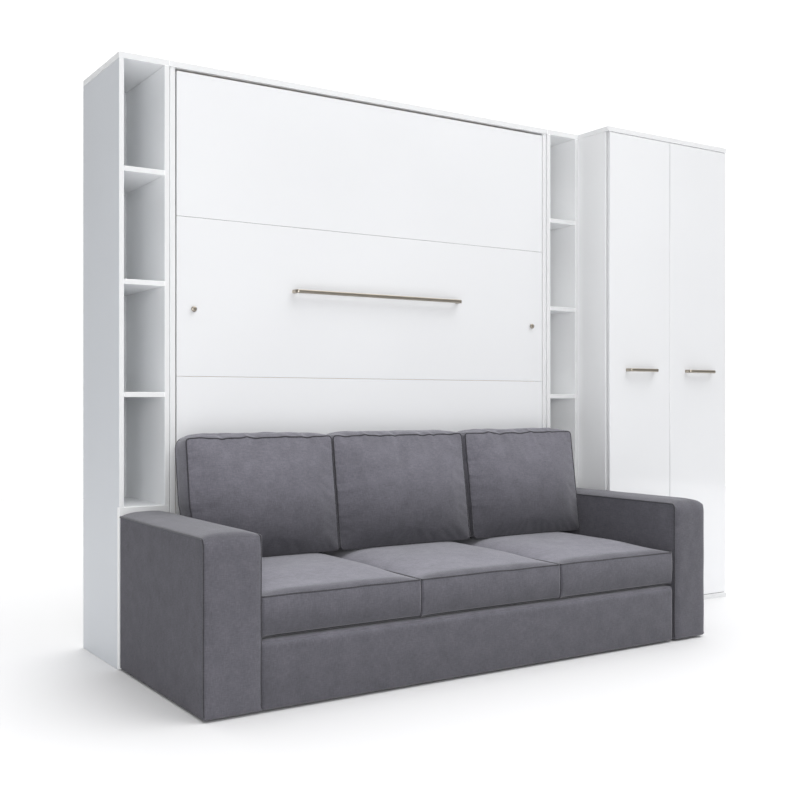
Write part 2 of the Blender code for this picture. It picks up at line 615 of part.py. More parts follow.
def build_mattress(pivot, ticking):
    """The mattress, slightly crowned on its sleeping side and drawn in round its edge."""
    along = (RUN_MIDDLE - MATTRESS_WIDTH / 2, RUN_MIDDLE + MATTRESS_WIDTH / 2)
    across = (MATTRESS_FRONT_Y, MATTRESS_FRONT_Y + MATTRESS_THICK - MATTRESS_CROWN)
    up = (RAIL_BOTTOM, RAIL_BOTTOM + MATTRESS_LENGTH)

    def form(u, v, w):
        edge = smooth_step(0, 1, v)
        return ((0.5 - u) * 2 * MATTRESS_DRAW * hump(v, 2) * hump(w, 4) * (abs(2 * u - 1) > 0.9),
                MATTRESS_CROWN * hump(u, 6) * hump(w, 6) * edge,
                (0.5 - w) * 2 * MATTRESS_DRAW * hump(v, 2) * hump(u, 4) * (abs(2 * w - 1) > 0.9))

    shares = (0.04, 0.35, 0.65, 0.96)
    soft_block("mattress", ticking, along, across, up, (shares, (0.2, 0.8), shares), form, pivot)


def build_latch(side, nickel, s, parent):
    """A turn latch: a turned knob and spindle through the front, and a cam that hangs behind it."""
    spot = place(s, FRONT_RECESS, LATCH_HEIGHT)
    pivot = bpy.data.objects.new(f"latch_{side}_axis", None)
    pivot.parent = parent
    pivot.location = spot - parent.location
    parts.objects.link(pivot)
    cam_front = FRONT_BOARD + FIT_GAP
    neck = KNOB_REACH - KNOB_HEAD
    crown = KNOB_HEAD / 3
    profile = [(0, KNOB_REACH), (KNOB_RADIUS * 0.6, KNOB_REACH - crown / 4), (KNOB_RADIUS, KNOB_REACH - crown * 1.5),
               (KNOB_RADIUS, neck + crown / 2), (KNOB_NECK_RADIUS, neck - crown / 2), (KNOB_NECK_RADIUS, FIT_GAP),
               (SPINDLE_RADIUS, FIT_GAP), (SPINDLE_RADIUS, -cam_front - CAM_THICK / 2),
               (0, -cam_front - CAM_THICK / 2)]
    mesh = bpy.data.meshes.new(f"latch_{side}")
    edges = [(number, number + 1) for number in range(len(profile) - 1)]
    mesh.from_pydata([(radius, 0, up) for radius, up in profile], edges, [])
    latch = bpy.data.objects.new(f"latch_{side}", mesh)
    mesh.materials.append(nickel)
    parts.objects.link(latch)
    latch.parent = pivot
    latch.rotation_euler = (math.radians(90), 0, 0)
    turn = latch.modifiers.new("turned", "SCREW")
    turn.axis = "Z"
    turn.steps = TURN_STEPS
    turn.render_steps = TURN_STEPS
    turn.use_merge_vertices = True
    turn.merge_threshold = 0.00001
    cam = ((s - CAM_WIDTH / 2, s + CAM_WIDTH / 2), (RAIL_FRONT_Y, RAIL_FRONT_Y + CAM_THICK),
           (LATCH_HEIGHT - CAM_REACH, LATCH_HEIGHT + CAM_WIDTH / 2))
    combine(latch, helper(f"latch_cam_{side}", box_mesh("cam", [cam], spot), spot), "UNION")


def bent(route, bend, steps):
    """The route with each inner corner rounded off, for a bent tube."""
    points = [Vector(route[0])]
    for before, corner, after in zip(route, route[1:], route[2:]):
        corner = Vector(corner)
        start = corner + (Vector(before) - corner).normalized() * bend
        end = corner + (Vector(after) - corner).normalized() * bend
        centre = start + end - corner
        for step in range(steps + 1):
            turn = math.pi / 2 * step / steps
            points.append(centre + (start - centre) * math.cos(turn) + (end - centre) * math.sin(turn))
    return [*points, Vector(route[-1])]


def build_legs(parent, steel):
    """A bent tube whose two legs lie beside the bed and swing over its head end as it opens."""
    pivot = bpy.data.objects.new("leg_axis", None)
    pivot.parent = parent
    pivot.location = place(RUN_MIDDLE, LEG_SHAFT_Y, LEG_SHAFT_Z) - parent.location
    parts.objects.link(pivot)
    half = [(LEG_OFFSET, 0, 0), (LEG_OFFSET, -LEG_CRANK, 0), (LEG_OFFSET, -LEG_CRANK, -LEG_LENGTH)]
    route = bent([(-s, y, z) for s, y, z in reversed(half)] + half, LEG_BEND, LEG_BEND_STEPS)
    curve = bpy.data.curves.new("leg_frame", "CURVE")
    curve.dimensions = "3D"
    curve.bevel_depth = LEG_TUBE_RADIUS
    curve.bevel_resolution = 2
    curve.use_fill_caps = True
    line = curve.splines.new("POLY")
    line.points.add(len(route) - 1)
    for point, spot in zip(line.points, route):
        point.co = (*spot, 1)
    frame = bpy.data.objects.new("leg_frame", curve)
    curve.materials.append(steel)
    parts.objects.link(frame)
    frame.parent = pivot


def build_sofa(cloth):
    """The sofa frame on its glides: two arms, the seat base and the low back board.

    The back board joins both arms; a gap stays open between the base and the right arm.
    """
    up = (GLIDE_HEIGHT, ARM_HEIGHT)

    def arm_form(u, v, w):
        return (0, 0, ARM_CROWN * hump(u, 3) * hump(v, 8) * smooth_step(0.5, 1, w))

    shares = ((0.08, 0.5, 0.92), (0.03, 0.5, 0.97), (0.03, 0.97))
    arm_y = (-SOFA_REACH, -FIT_GAP)
    left = (SOFA_END_MARGIN, ARM_INNER)
    rows = (GLIDE_INSET - SOFA_REACH, SOFA_BACK_FRONT - GLIDE_INSET)
    right = (RUN_WIDTH - ARM_INNER + RIGHT_ARM_GAP, RUN_WIDTH - RIGHT_END_MARGIN)
    for name, span in (("left", left), ("right", right)):
        arm = soft_block(f"sofa_arm_{name}", cloth, span, arm_y, up, shares, arm_form)
        add_glides(arm, [(span[0] + span[1]) / 2], rows)
    inside = (ARM_INNER + FIT_GAP, RUN_WIDTH - ARM_INNER - FIT_GAP)
    base = slab("seat_base", cloth, inside, (-SOFA_REACH, SOFA_BACK_FRONT - FIT_GAP), (GLIDE_HEIGHT, SEAT_BASE_TOP))
    add_glides(base, [inside[0] + GLIDE_INSET, inside[1] - GLIDE_INSET], rows)
    slab("sofa_back_board", cloth, (inside[0], right[0] - FIT_GAP), (SOFA_BACK_FRONT, -SOFA_BACK_GAP),
         (GLIDE_HEIGHT, SOFA_BACK_TOP))


def add_glides(piece, columns, rows):
    """Round plastic glides under a sofa piece."""
    join_discs(piece, [(place(s, y, 0), place(s, y, GLIDE_HEIGHT * 2), GLIDE_RADIUS) for s in columns for y in rows])


def cushion_spans():
    """The stretches of the three seats along the front, with the gaps between them taken off."""
    joints = (ARM_INNER, ARM_INNER + SEAT_SIDE_WIDTH, RUN_WIDTH - ARM_INNER - SEAT_SIDE_WIDTH, RUN_WIDTH - ARM_INNER)
    return [(start + CUSHION_GAP / 2, end - CUSHION_GAP / 2) for start, end in zip(joints, joints[1:])]


def build_cushions(cloth):
    """Three seat cushions, and three loose back cushions that are laid down before the bed opens."""
    names = ("left", "middle", "right")
    side_shares = (0.05, 0.3, 0.7, 0.95)
    seat_y = (-SOFA_REACH, SOFA_BACK_FRONT - FIT_GAP)
    seat_z = (SEAT_BASE_TOP + FIT_GAP, SEAT_EDGE_TOP)

    def seat_form(u, v, w):
        rise = smooth_step(0, SEAT_CROWN_PEAK_SHARE, v)
        fall = 1 - (1 - SEAT_REAR_SHARE) * smooth_step(SEAT_CROWN_PEAK_SHARE, SEAT_REAR_START_SHARE, v)
        top = SEAT_CROWN * hump(u, 4) * rise * fall * (w == 1)
        side = (1 - 2 * u) * SEAT_DRAW * hump(v, 4) * (abs(2 * u - 1) == 1) * (1 - hump(w, 2))
        front = SEAT_DRAW * (1 - hump(w, 2)) * hump(u, 4) * (v == 0)
        return (side, front, top)

    for name, span in zip(names, cushion_spans()):
        soft_block(f"seat_cushion_{name}", cloth, span, seat_y, seat_z,
                   (side_shares, (0.05, 0.35, SEAT_REAR_START_SHARE, 0.95), (0.12, 0.88)), seat_form)
    back_y = (-BACK_SEAM_THICK, 0)
    back_z = (BACK_CUSHION_BOTTOM, BACK_CUSHION_TOP)

    def back_form(u, v, w):
        lean = BACK_FOOT_Y + (BACK_HEAD_Y - BACK_FOOT_Y) * w
        swell = hump(u, 2.5) * hump(w, 3)
        crown = -BACK_FRONT_CROWN * swell * (v == 0) + BACK_REAR_CROWN * swell * (v == 1)
        side = (1 - 2 * u) * BACK_DRAW * hump(w, 4) * (abs(2 * u - 1) == 1)
        return (side, lean + crown, BACK_TOP_CROWN * hump(u, 2) * hump(v, 2) * (w == 1))

    for name, nominal in zip(names, cushion_spans()):
        shift = RIGHT_BACK_SHIFT if name == "right" else 0
        span = (nominal[0] + shift, nominal[1] + shift)
        pivot = add_pivot(f"back_cushion_{name}_axis", (span[0] + span[1]) / 2, CUSHION_AXIS_Y, CUSHION_AXIS_Z)
        soft_block(f"back_cushion_{name}", cloth, span, back_y, back_z,
                   (side_shares, (0.15, 0.85), (0.05, 0.3, 0.7, 0.95)), back_form, pivot)


def main():
    """Builds every sub-part at its place, with the bed upright and the doors shut."""
    clear_scene()
    white = finish("white_melamine_board", (0.83, 0.84, 0.85), 0.45)
    gloss = finish("white_gloss_front", (0.90, 0.90, 0.91), 0.08)
    sheet = finish("white_hardboard", (0.78, 0.79, 0.80), 0.60)
    steel = finish("zinc_plated_steel", (0.55, 0.56, 0.58), 0.35, 1.0)
    nickel = finish("brushed_nickel", (0.48, 0.44, 0.38), 0.32, 1.0)
    wood = finish("birch_plywood", (0.62, 0.47, 0.30), 0.55)
    cloth = finish("grey_velour", (0.13, 0.13, 0.15), 0.90)
    ticking = finish("mattress_ticking", (0.80, 0.80, 0.78), 0.85)
    build_bookcase("left", False, white, sheet)
    build_bookcase("right", True, white, sheet)
    build_bed_cabinet(white, steel)
    build_wardrobe(white, gloss, sheet, steel, nickel)
    build_bed(gloss, wood, steel, nickel, ticking)
    build_sofa(cloth)
    build_cushions(cloth)


main()
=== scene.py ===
"""Wall bed with sofa, bookcases and wardrobe: upholstery, fittings, finishes and studio.

Every new piece is a numpy surface in metres in the frame of the built model: +X runs to the right along
the fronts, +Y to the wall and +Z up.
"""
import json
import math

import bpy
import numpy as np
from bpy.props import FloatProperty, FloatVectorProperty, PointerProperty, StringProperty
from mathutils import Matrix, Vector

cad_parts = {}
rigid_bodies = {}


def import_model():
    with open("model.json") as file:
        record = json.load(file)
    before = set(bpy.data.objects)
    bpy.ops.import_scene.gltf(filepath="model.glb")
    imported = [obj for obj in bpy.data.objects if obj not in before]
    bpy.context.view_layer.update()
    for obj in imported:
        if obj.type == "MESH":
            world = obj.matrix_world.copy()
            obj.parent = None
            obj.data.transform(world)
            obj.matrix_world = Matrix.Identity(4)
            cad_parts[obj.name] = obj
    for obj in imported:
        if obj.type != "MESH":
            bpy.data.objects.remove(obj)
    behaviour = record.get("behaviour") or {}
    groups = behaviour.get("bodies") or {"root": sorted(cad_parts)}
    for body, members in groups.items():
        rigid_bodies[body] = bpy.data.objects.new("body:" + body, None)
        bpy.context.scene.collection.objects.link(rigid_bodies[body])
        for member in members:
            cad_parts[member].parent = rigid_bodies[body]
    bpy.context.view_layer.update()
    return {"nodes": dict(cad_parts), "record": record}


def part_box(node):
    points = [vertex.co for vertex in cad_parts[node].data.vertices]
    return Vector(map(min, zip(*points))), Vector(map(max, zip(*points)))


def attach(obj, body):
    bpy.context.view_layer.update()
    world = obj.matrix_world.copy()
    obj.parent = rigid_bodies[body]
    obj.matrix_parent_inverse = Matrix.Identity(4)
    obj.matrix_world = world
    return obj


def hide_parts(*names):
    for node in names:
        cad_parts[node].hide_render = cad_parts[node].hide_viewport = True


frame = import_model()

bl_info = {
    "name": "Wall bed with sofa",
    "version": (1, 0, 0),
    "blender": (4, 5, 0),
    "location": "3D View > Sidebar > Wall Bed",
    "description": "Upholstery, fittings and finishes of a wall bed with a sofa, bookcases and a wardrobe",
    "category": "Object",
}

SEAT_NAMES = ("left", "middle", "right")
SIDES = ("left", "right")
MM = 0.001


# Surfaces

def edge_lines(length, edge, inner_count, edge_count):
    """Places of the cuts along one side of a box: even inside, and closer by a cosine within the edge."""
    near = edge * (1 - np.cos(np.linspace(0, math.pi / 2, edge_count + 1)))
    middle = np.linspace(edge, length - edge, inner_count + 1)[1:-1]
    return np.concatenate([near, middle, length - near[::-1]])


def box_skin(lines):
    """The outside of a box, cut at the given places: points, quads and each point's place in the lattice.

    A side is a grid over the two axes that it spans, and the points that two sides share are one.
    """
    shape = tuple(len(line) for line in lines)
    quads = []
    for fixed in range(3):
        first, second = (fixed + 1) % 3, (fixed + 2) % 3
        p, q = np.meshgrid(np.arange(shape[first] - 1), np.arange(shape[second] - 1), indexing="ij")
        for end in (0, shape[fixed] - 1):
            loop = []
            for dp, dq in ((0, 0), (1, 0), (1, 1), (0, 1)):
                place = [None] * 3
                place[fixed], place[first], place[second] = np.full_like(p, end), p + dp, q + dq
                loop.append(np.ravel_multi_index(place, shape))
            quads.append(np.stack(loop if end else loop[::-1], -1).reshape(-1, 4))
    codes, faces = np.unique(np.concatenate(quads), return_inverse=True)
    lattice = np.stack(np.unravel_index(codes, shape))
    points = np.stack([np.asarray(lines[axis])[lattice[axis]] for axis in range(3)], -1)
    return points, faces.reshape(-1, 4), codes, shape


def soft_box(size, *cuts):
    """The skin of a box of this size, cut by edge_lines, with each point's share of the way along the axes."""
    points, faces, codes, shape = box_skin([edge_lines(length, *cut) for length, cut in zip(size, cuts)])
    return points, faces, codes, shape, (points / size).T


def rim(codes, shape, fixed, end):
    """Point numbers round the edge of one side of the box, in walking order."""
    first, second = [axis for axis in range(3) if axis != fixed]
    b, c = shape[first] - 1, shape[second] - 1
    place = [None] * 3
    place[first] = np.concatenate([np.arange(b), np.full(c, b), np.arange(b, 0, -1), np.zeros(c, int)])
    place[second] = np.concatenate([np.zeros(b, int), np.arange(c), np.full(b, c), np.arange(c, 0, -1)])
    place[fixed] = np.full(len(place[first]), end)
    return np.searchsorted(codes, np.ravel_multi_index(place, shape))


def round_off(points, size, radius, axes=(0, 1, 2)):
    """Rounds the corners of a box of this size, among the named axes.

    Past the radius from each end a point's overhang is measured on every axis; its length is pulled back
    to its longest component, which bends the square corner into a quarter circle.
    """
    axes = list(axes)
    half = np.asarray(size)[axes] / 2
    centred = points[:, axes] - half
    over = np.maximum(np.abs(centred) - (half - radius), 0)
    length = np.linalg.norm(over, axis=1)
    longest = over.max(axis=1)
    pull = np.divide(longest, length, out=np.ones_like(length), where=length > 0)
    inside = np.minimum(np.abs(centred), half - radius)
    rounded = points.copy()
    rounded[:, axes] = half + np.sign(centred) * (inside + over * pull[:, None])
    return rounded


def hump(share, power=2.0):
    """1 in the middle of a stretch and 0 at its ends; a higher power is flatter on top."""
    return 1 - np.abs(2 * share - 1) ** power


def rise(start, end, share):
    """0 before start, 1 after end, and a smooth step between."""
    t = np.clip((share - start) / (end - start), 0, 1)
    return t * t * (3 - 2 * t)


def ridges(share, seed, count, width):
    """A sum of bell-shaped ridges and dips at seeded places along a stretch, from about -1 to 1."""
    random = np.random.default_rng(seed)
    centres = (np.arange(count) + random.uniform(0.2, 0.8, count)) / count
    heights = random.uniform(0.4, 1.0, count) * random.choice((-1, 1), count)
    widths = width * random.uniform(0.6, 1.4, count)
    return (heights * np.exp(-((share[..., None] - centres) / widths) ** 2)).sum(-1)


def ripple(a, b, seed, cells):
    """Smooth random swell over two shares: seeded heights at grid points, eased from one to the next."""
    random = np.random.default_rng(seed)
    heights = random.uniform(-1, 1, (cells + 2, cells + 2))
    x, y = np.clip(a, 0, 1) * cells, np.clip(b, 0, 1) * cells
    i, j = x.astype(int), y.astype(int)
    p, q = rise(0, 1, x - i), rise(0, 1, y - j)
    low = heights[i, j] * (1 - p) + heights[i + 1, j] * p
    high = heights[i, j + 1] * (1 - p) + heights[i + 1, j + 1] * p
    return low * (1 - q) + high * q


def add_piece(name, points, faces, material, body, smooth_angle=None, painted_shade=None):
    """Puts points and faces into a mesh and lets the new piece ride on a body.

    painted_shade is how much painted shade darkens the colour at each point, and where it is below 0, how much a
    painted highlight lightens it.
    """
    mesh = bpy.data.meshes.new(name)
    mesh.from_pydata(np.asarray(points).tolist(), [], [list(face) for face in faces])
    mesh.validate()
    mesh.shade_smooth()
    if smooth_angle:
        mesh.set_sharp_from_angle(angle=math.radians(smooth_angle))
    mesh.materials.append(material)
    # Painted light: the painted_shade attribute carries painted shade and painted highlights into the velour's colour
    if painted_shade is not None:
        mesh.attributes.new("painted_shade", "FLOAT", "POINT").data.foreach_set("value", np.asarray(painted_shade, np.float32))
    piece = bpy.data.objects.new(name, mesh)
    bpy.context.scene.collection.objects.link(piece)
    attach(piece, body)
    return piece


def loft(rings, closed=False):
    """Joins rings of points, an array of ring by step by axis, and closes both ends with a pole."""
    count, steps = rings.shape[:2]
    points = rings.reshape(-1, 3)
    spans = np.arange(count if closed else count - 1)
    a, s = np.meshgrid(spans, np.arange(steps), indexing="ij")
    b, t = (a + 1) % count, (s + 1) % steps
    faces = np.stack([a * steps + s, a * steps + t, b * steps + t, b * steps + s], -1).reshape(-1, 4).tolist()
    if not closed:
        points = np.concatenate([points, rings[:1].mean(1), rings[-1:].mean(1)])
        first, last = count * steps, count * steps + 1
        s = np.arange(steps)
        t = (s + 1) % steps
        base = (count - 1) * steps
        faces += np.stack([t, s, np.full(steps, first)], -1).tolist()
        faces += np.stack([base + s, base + t, np.full(steps, last)], -1).tolist()
    return points, faces


def tube(path, radius, sides, facing, closed=False, end_steps=3):
    """Circles round each point of a path, square to its direction; open ends are rounded like a dome."""
    path = np.asarray(path, float)
    ahead = np.roll(path, -1, 0) - np.roll(path, 1, 0) if closed else np.gradient(path, axis=0)
    tangent = ahead / np.linalg.norm(ahead, axis=1, keepdims=True)
    side = np.cross(tangent, facing)
    side /= np.linalg.norm(side, axis=1, keepdims=True)
    normal = np.cross(side, tangent)
    reach = np.full(len(path), radius)
    if not closed:
        bow = np.linspace(math.pi / 2, 0, end_steps + 1)[:-1]
        lead, drop = np.sin(bow) * radius, np.maximum(np.cos(bow), 0.02) * radius
        path = np.concatenate([path[0] - tangent[0] * lead[:, None], path, path[-1] + tangent[-1] * lead[::-1, None]])
        side = np.concatenate([np.repeat(side[:1], end_steps, 0), side, np.repeat(side[-1:], end_steps, 0)])
        normal = np.concatenate([np.repeat(normal[:1], end_steps, 0), normal, np.repeat(normal[-1:], end_steps, 0)])
        reach = np.concatenate([drop, reach, drop[::-1]])
    turn = np.linspace(0, 2 * math.pi, sides, endpoint=False)
    circle = np.cos(turn)[None, :, None] * side[:, None] + np.sin(turn)[None, :, None] * normal[:, None]
    return loft(path[:, None] + circle * reach[:, None, None], closed)


def turned(profile, centre, axis, steps=48):
    """A profile of (radius, distance) carried once round an axis through the centre."""
    profile = np.asarray(profile, float)
    axis = np.asarray(axis, float)
    side = np.cross(axis, (0.3, 0.5, 0.8))
    side /= np.linalg.norm(side)
    other = np.cross(axis, side)
    turn = np.linspace(0, 2 * math.pi, steps, endpoint=False)
    circle = np.cos(turn)[:, None] * side + np.sin(turn)[:, None] * other
    rings = np.asarray(centre) + profile[:, 1, None, None] * axis + profile[:, 0, None, None] * circle[None]
    return loft(rings)


# Materials

def srgb(code):
    """Linear red, green, blue and alpha of an sRGB hex colour."""
    value = [int(code[at:at + 2], 16) / 255 for at in (0, 2, 4)]
    return (*(part / 12.92 if part <= 0.04045 else ((part + 0.055) / 1.055) ** 2.4 for part in value), 1.0)


def add_node(tree, kind, settings=None, inputs=None, links=None, stops=None, to=None):
    """Adds one node, sets its properties and socket values, and links other nodes to its sockets.

    A link is given as an output, or as a node, which means its first output. stops are the places and the sRGB
    hex colours of a colour ramp, and to is the socket that the new node's first output goes to.
    """
    node = tree.nodes.new(kind)
    for key, value in (settings or {}).items():
        setattr(node, key, value)
    for key, value in (inputs or {}).items():
        node.inputs[key].default_value = value
    for key, source in (links or {}).items():
        tree.links.new(getattr(source, "outputs", [source])[0], node.inputs[key])
    if stops:
        elements = node.color_ramp.elements
        while len(elements) < len(stops[0]):
            elements.new(0.5)
        for element, place, code in zip(elements, *stops):
            element.position, element.color = place, srgb(code)
    if to is not None:
        tree.links.new(node.outputs[0], to)
    return node


def new_material(name, **sockets):
    """A material whose Principled shader has these socket values."""
    material = bpy.data.materials.new(name)
    material.use_nodes = True
    shader = material.node_tree.nodes["Principled BSDF"]
    for key, value in sockets.items():
        shader.inputs[key.replace("_", " ")].default_value = value
    return material, material.node_tree, shader


def velour(name, colours, sheen=0.5):
    """Upholstery velour, a short cut pile on a woven ground.

    The pile scatters light at its edges, so it turns paler where it is seen at a slant. Slub threads show as
    faint streaks 3 mm thick and 16 mm long both ways, and brushing leaves soft cloudy patches 60 mm across. The
    colour is multiplied by 1 less 0.42 times the painted_shade of the point: painted shade where that is above 0,
    and a painted highlight where it is below 0.
    """
    material, tree, shader = new_material(name, Roughness=0.95, Sheen_Weight=sheen, Sheen_Roughness=0.5,
                                          Sheen_Tint=srgb("d4d5d9"), Specular_IOR_Level=0.25)
    place = add_node(tree, "ShaderNodeTexCoord").outputs["Object"]
    streaks = []
    for scale in ((60, 60, 330), (330, 330, 60)):
        spread = add_node(tree, "ShaderNodeMapping", inputs={"Scale": scale}, links={"Vector": place})
        streaks.append(add_node(tree, "ShaderNodeTexNoise", inputs={"Scale": 1.0, "Detail": 3.0, "Roughness": 0.6},
                                links={"Vector": spread}))
    weave = add_node(tree, "ShaderNodeMath", {"operation": "ADD"}, links={0: streaks[0], 1: streaks[1]})
    clouds = add_node(tree, "ShaderNodeTexNoise", inputs={"Scale": 17.0, "Detail": 4.0, "Roughness": 0.55},
                      links={"Vector": place})
    cloudy = add_node(tree, "ShaderNodeMath", {"operation": "MULTIPLY"}, {1: 0.4}, {0: clouds})
    blend = add_node(tree, "ShaderNodeMath", {"operation": "MULTIPLY_ADD"}, {1: 0.5}, {0: weave, 2: cloudy})
    colour = add_node(tree, "ShaderNodeValToRGB", links={"Fac": blend}, stops=((0.50, 0.70, 0.90), colours.split()))
    # Painted shade and painted highlight: the colour is scaled by 1 less 0.42 times the painted_shade attribute
    painted_shade = add_node(tree, "ShaderNodeAttribute", {"attribute_name": "painted_shade"}).outputs["Fac"]
    share = add_node(tree, "ShaderNodeMath", {"operation": "MULTIPLY_ADD"}, {1: -0.42, 2: 1.0}, {0: painted_shade})
    add_node(tree, "ShaderNodeVectorMath", {"operation": "SCALE"}, links={0: colour, "Scale": share},
             to=shader.inputs["Base Color"])
    grain = add_node(tree, "ShaderNodeTexNoise", inputs={"Scale": 900.0, "Detail": 2.0}, links={"Vector": place})
    height = add_node(tree, "ShaderNodeMath", {"operation": "MULTIPLY_ADD"}, {1: 0.6}, {0: weave, 2: grain})
    add_node(tree, "ShaderNodeBump", inputs={"Strength": 0.22, "Distance": 0.0012}, links={"Height": height},
             to=shader.inputs["Normal"])
    return material


def melamine(name, colours, band):
    """White melamine-faced chipboard: pressed paper with a fine satin grain of about 2 mm, no gloss.

    Its tone drifts over about half a metre. The front edges carry an edge band, a little greyer than the faces.
    """
    material, tree, shader = new_material(name, Roughness=0.42)
    coordinates = add_node(tree, "ShaderNodeTexCoord")
    place = coordinates.outputs["Object"]
    grain = add_node(tree, "ShaderNodeTexNoise", inputs={"Scale": 520.0, "Detail": 3.0}, links={"Vector": place})
    tone = add_node(tree, "ShaderNodeTexNoise", inputs={"Scale": 2.2, "Detail": 2.0}, links={"Vector": place})
    colour = add_node(tree, "ShaderNodeValToRGB", links={"Fac": tone}, stops=((0.3, 0.7), colours.split()))
    facing = add_node(tree, "ShaderNodeSeparateXYZ", links={0: coordinates.outputs["Normal"]}).outputs["Y"]
    front = add_node(tree, "ShaderNodeMath", {"operation": "LESS_THAN"}, {1: -0.9}, {0: facing})
    # A colour Mix node has its factor in socket 0, its colours in 6 and 7 and its result in output 2
    banded = add_node(tree, "ShaderNodeMix", {"data_type": "RGBA"}, {7: srgb(band)}, {0: front, 6: colour})
    tree.links.new(banded.outputs[2], shader.inputs["Base Color"])
    add_node(tree, "ShaderNodeMapRange", inputs={"To Min": 0.36, "To Max": 0.50}, links={"Value": grain},
             to=shader.inputs["Roughness"])
    add_node(tree, "ShaderNodeBump", inputs={"Strength": 0.06, "Distance": 0.0006}, links={"Height": grain},
             to=shader.inputs["Normal"])
    return material


def gloss_lacquer(colours):
    """High-gloss white lacquer on board: a mirror-smooth clear top over white, with an orange peel of about 7 mm."""
    material, tree, shader = new_material("white_gloss_lacquer", Roughness=0.16, Coat_Weight=1.0, Coat_Roughness=0.03)
    place = add_node(tree, "ShaderNodeTexCoord").outputs["Object"]
    tone = add_node(tree, "ShaderNodeTexNoise", inputs={"Scale": 1.4, "Detail": 1.0}, links={"Vector": place})
    add_node(tree, "ShaderNodeValToRGB", links={"Fac": tone}, stops=((0.3, 0.7), colours.split()),
             to=shader.inputs["Base Color"])
    peel = add_node(tree, "ShaderNodeTexNoise", inputs={"Scale": 140.0, "Detail": 1.0}, links={"Vector": place})
    add_node(tree, "ShaderNodeBump", inputs={"Strength": 0.02, "Distance": 0.0004}, links={"Height": peel},
             to=shader.inputs["Coat Normal"])
    return material


def patterned(name, colours, places, pattern, relief, stretch=None, rough=None, **sockets):
    """A material with one pattern that gives its colour, its relief and, within rough, its roughness.

    places are where the colours lie in the pattern. relief is the bump's strength and depth, and True where low
    values stand out. stretch multiplies the coordinates, so it draws the pattern out along its smallest axis.
    """
    material, tree, shader = new_material(name, **sockets)
    place = add_node(tree, "ShaderNodeTexCoord").outputs["Object"]
    if stretch:
        place = add_node(tree, "ShaderNodeMapping", inputs={"Scale": stretch}, links={"Vector": place})
    kind, settings, inputs = pattern
    figure = add_node(tree, kind, settings, inputs, {"Vector": place})
    add_node(tree, "ShaderNodeValToRGB", links={"Fac": figure}, stops=(places, colours.split()),
             to=shader.inputs["Base Color"])
    if rough:
        add_node(tree, "ShaderNodeMapRange", inputs={"To Min": rough[0], "To Max": rough[1]},
                 links={"Value": figure}, to=shader.inputs["Roughness"])
    strength, depth, low_stands_out = relief
    add_node(tree, "ShaderNodeBump", {"invert": low_stands_out}, {"Strength": strength, "Distance": depth},
             {"Height": figure}, to=shader.inputs["Normal"])
    return material


def hardboard(colours):
    """White-painted hardboard back: matt, with the faint 6 mm mottle of pressed fibre."""
    return patterned("white_hardboard", colours, (0.25, 0.75),
                     ("ShaderNodeTexNoise", {}, {"Scale": 160.0, "Detail": 5.0}), (0.10, 0.0005, False), Roughness=0.62)


def brushed_metal(name, colours, roughness):
    """Brushed metal: fine scratches along X, 0.4 mm apart and 25 mm long, that draw out the highlights."""
    return patterned(name, colours, (0.3, 0.7), ("ShaderNodeTexNoise", {}, {"Scale": 1.0, "Detail": 2.0}),
                     (0.08, 0.0002, False), (40, 2500, 2500), (roughness - 0.06, roughness + 0.08),
                     Metallic=1.0, Roughness=roughness)


def birch_ply(colours):
    """Birch plywood under clear lacquer: pale wood whose soft figure runs along X, 17 mm wide and ten times as long."""
    figure = {"Scale": 1.0, "Detail": 6.0, "Distortion": 0.6}
    return patterned("birch_plywood", colours, (0.25, 0.5, 0.8), ("ShaderNodeTexNoise", {}, figure),
                     (0.12, 0.0004, False), (6, 60, 60), Roughness=0.48)


def ticking(colours):
    """Knitted mattress cover: off-white, matt, with a small raised knit of about 4 mm."""
    return patterned("mattress_ticking", colours, (0.1, 0.8),
                     ("ShaderNodeTexVoronoi", {"feature": "SMOOTH_F1"}, {"Scale": 260.0}),
                     (0.25, 0.001, True), Roughness=0.88, Sheen_Weight=0.2)


def moulded_rubber(colours):
    """Moulded rubber: matt black with a fine spark-eroded texture of about 0.5 mm."""
    return patterned("black_rubber", colours, (0.2, 0.9), ("ShaderNodeTexNoise", {}, {"Scale": 2000.0, "Detail": 1.0}),
                     (0.15, 0.0002, False), Roughness=0.7)


_made = {}


def finish(name):
    """The material of one finish, made once from the colours in the settings."""
    look = bpy.context.scene.wall_bed_finishes
    makers = {
        "melamine": lambda: melamine("white_melamine", look.boards, look.edge_band),
        # The left outer side's melamine is a cooler white, made darker as painted shade
        "shaded_cool_melamine": lambda: melamine("shaded_cool_white_melamine", look.outer_side, look.edge_band),
        "gloss": lambda: gloss_lacquer(look.fronts),
        "hardboard": lambda: hardboard(look.back_sheets),
        "nickel": lambda: brushed_metal("brushed_nickel", look.handles, 0.34),
        "steel": lambda: brushed_metal("zinc_plated_steel", look.steel, 0.36),
        "plywood": lambda: birch_ply(look.slats),
        "ticking": lambda: ticking(look.mattress),
        "rubber": lambda: moulded_rubber(look.rubber),
        "velour": lambda: velour("grey_velour", look.cover),
        "velour_outside": lambda: velour("grey_velour_outside", look.cover, 0.1),
        # The piping's velour is darker than the cover's: painted shade of the groove beside the cord
        "piping": lambda: velour("grey_velour_piping_seam_shade", look.piping),
    }
    if name not in _made:
        _made[name] = makers[name]()
    return _made[name]


FINISH_OF_SLOT = {"white_board": "melamine", "gloss_front": "gloss", "back_sheet": "hardboard", "zinc_steel": "steel",
                  "nickel": "nickel", "velour": "velour", "birch_ply": "plywood", "ticking": "ticking"}
FINISH_OF_NODE = {"bookcase_left_outer_side": "shaded_cool_melamine"}  # painted shade: the left outer side gets a cooler white, darkened for the side turned away from the light
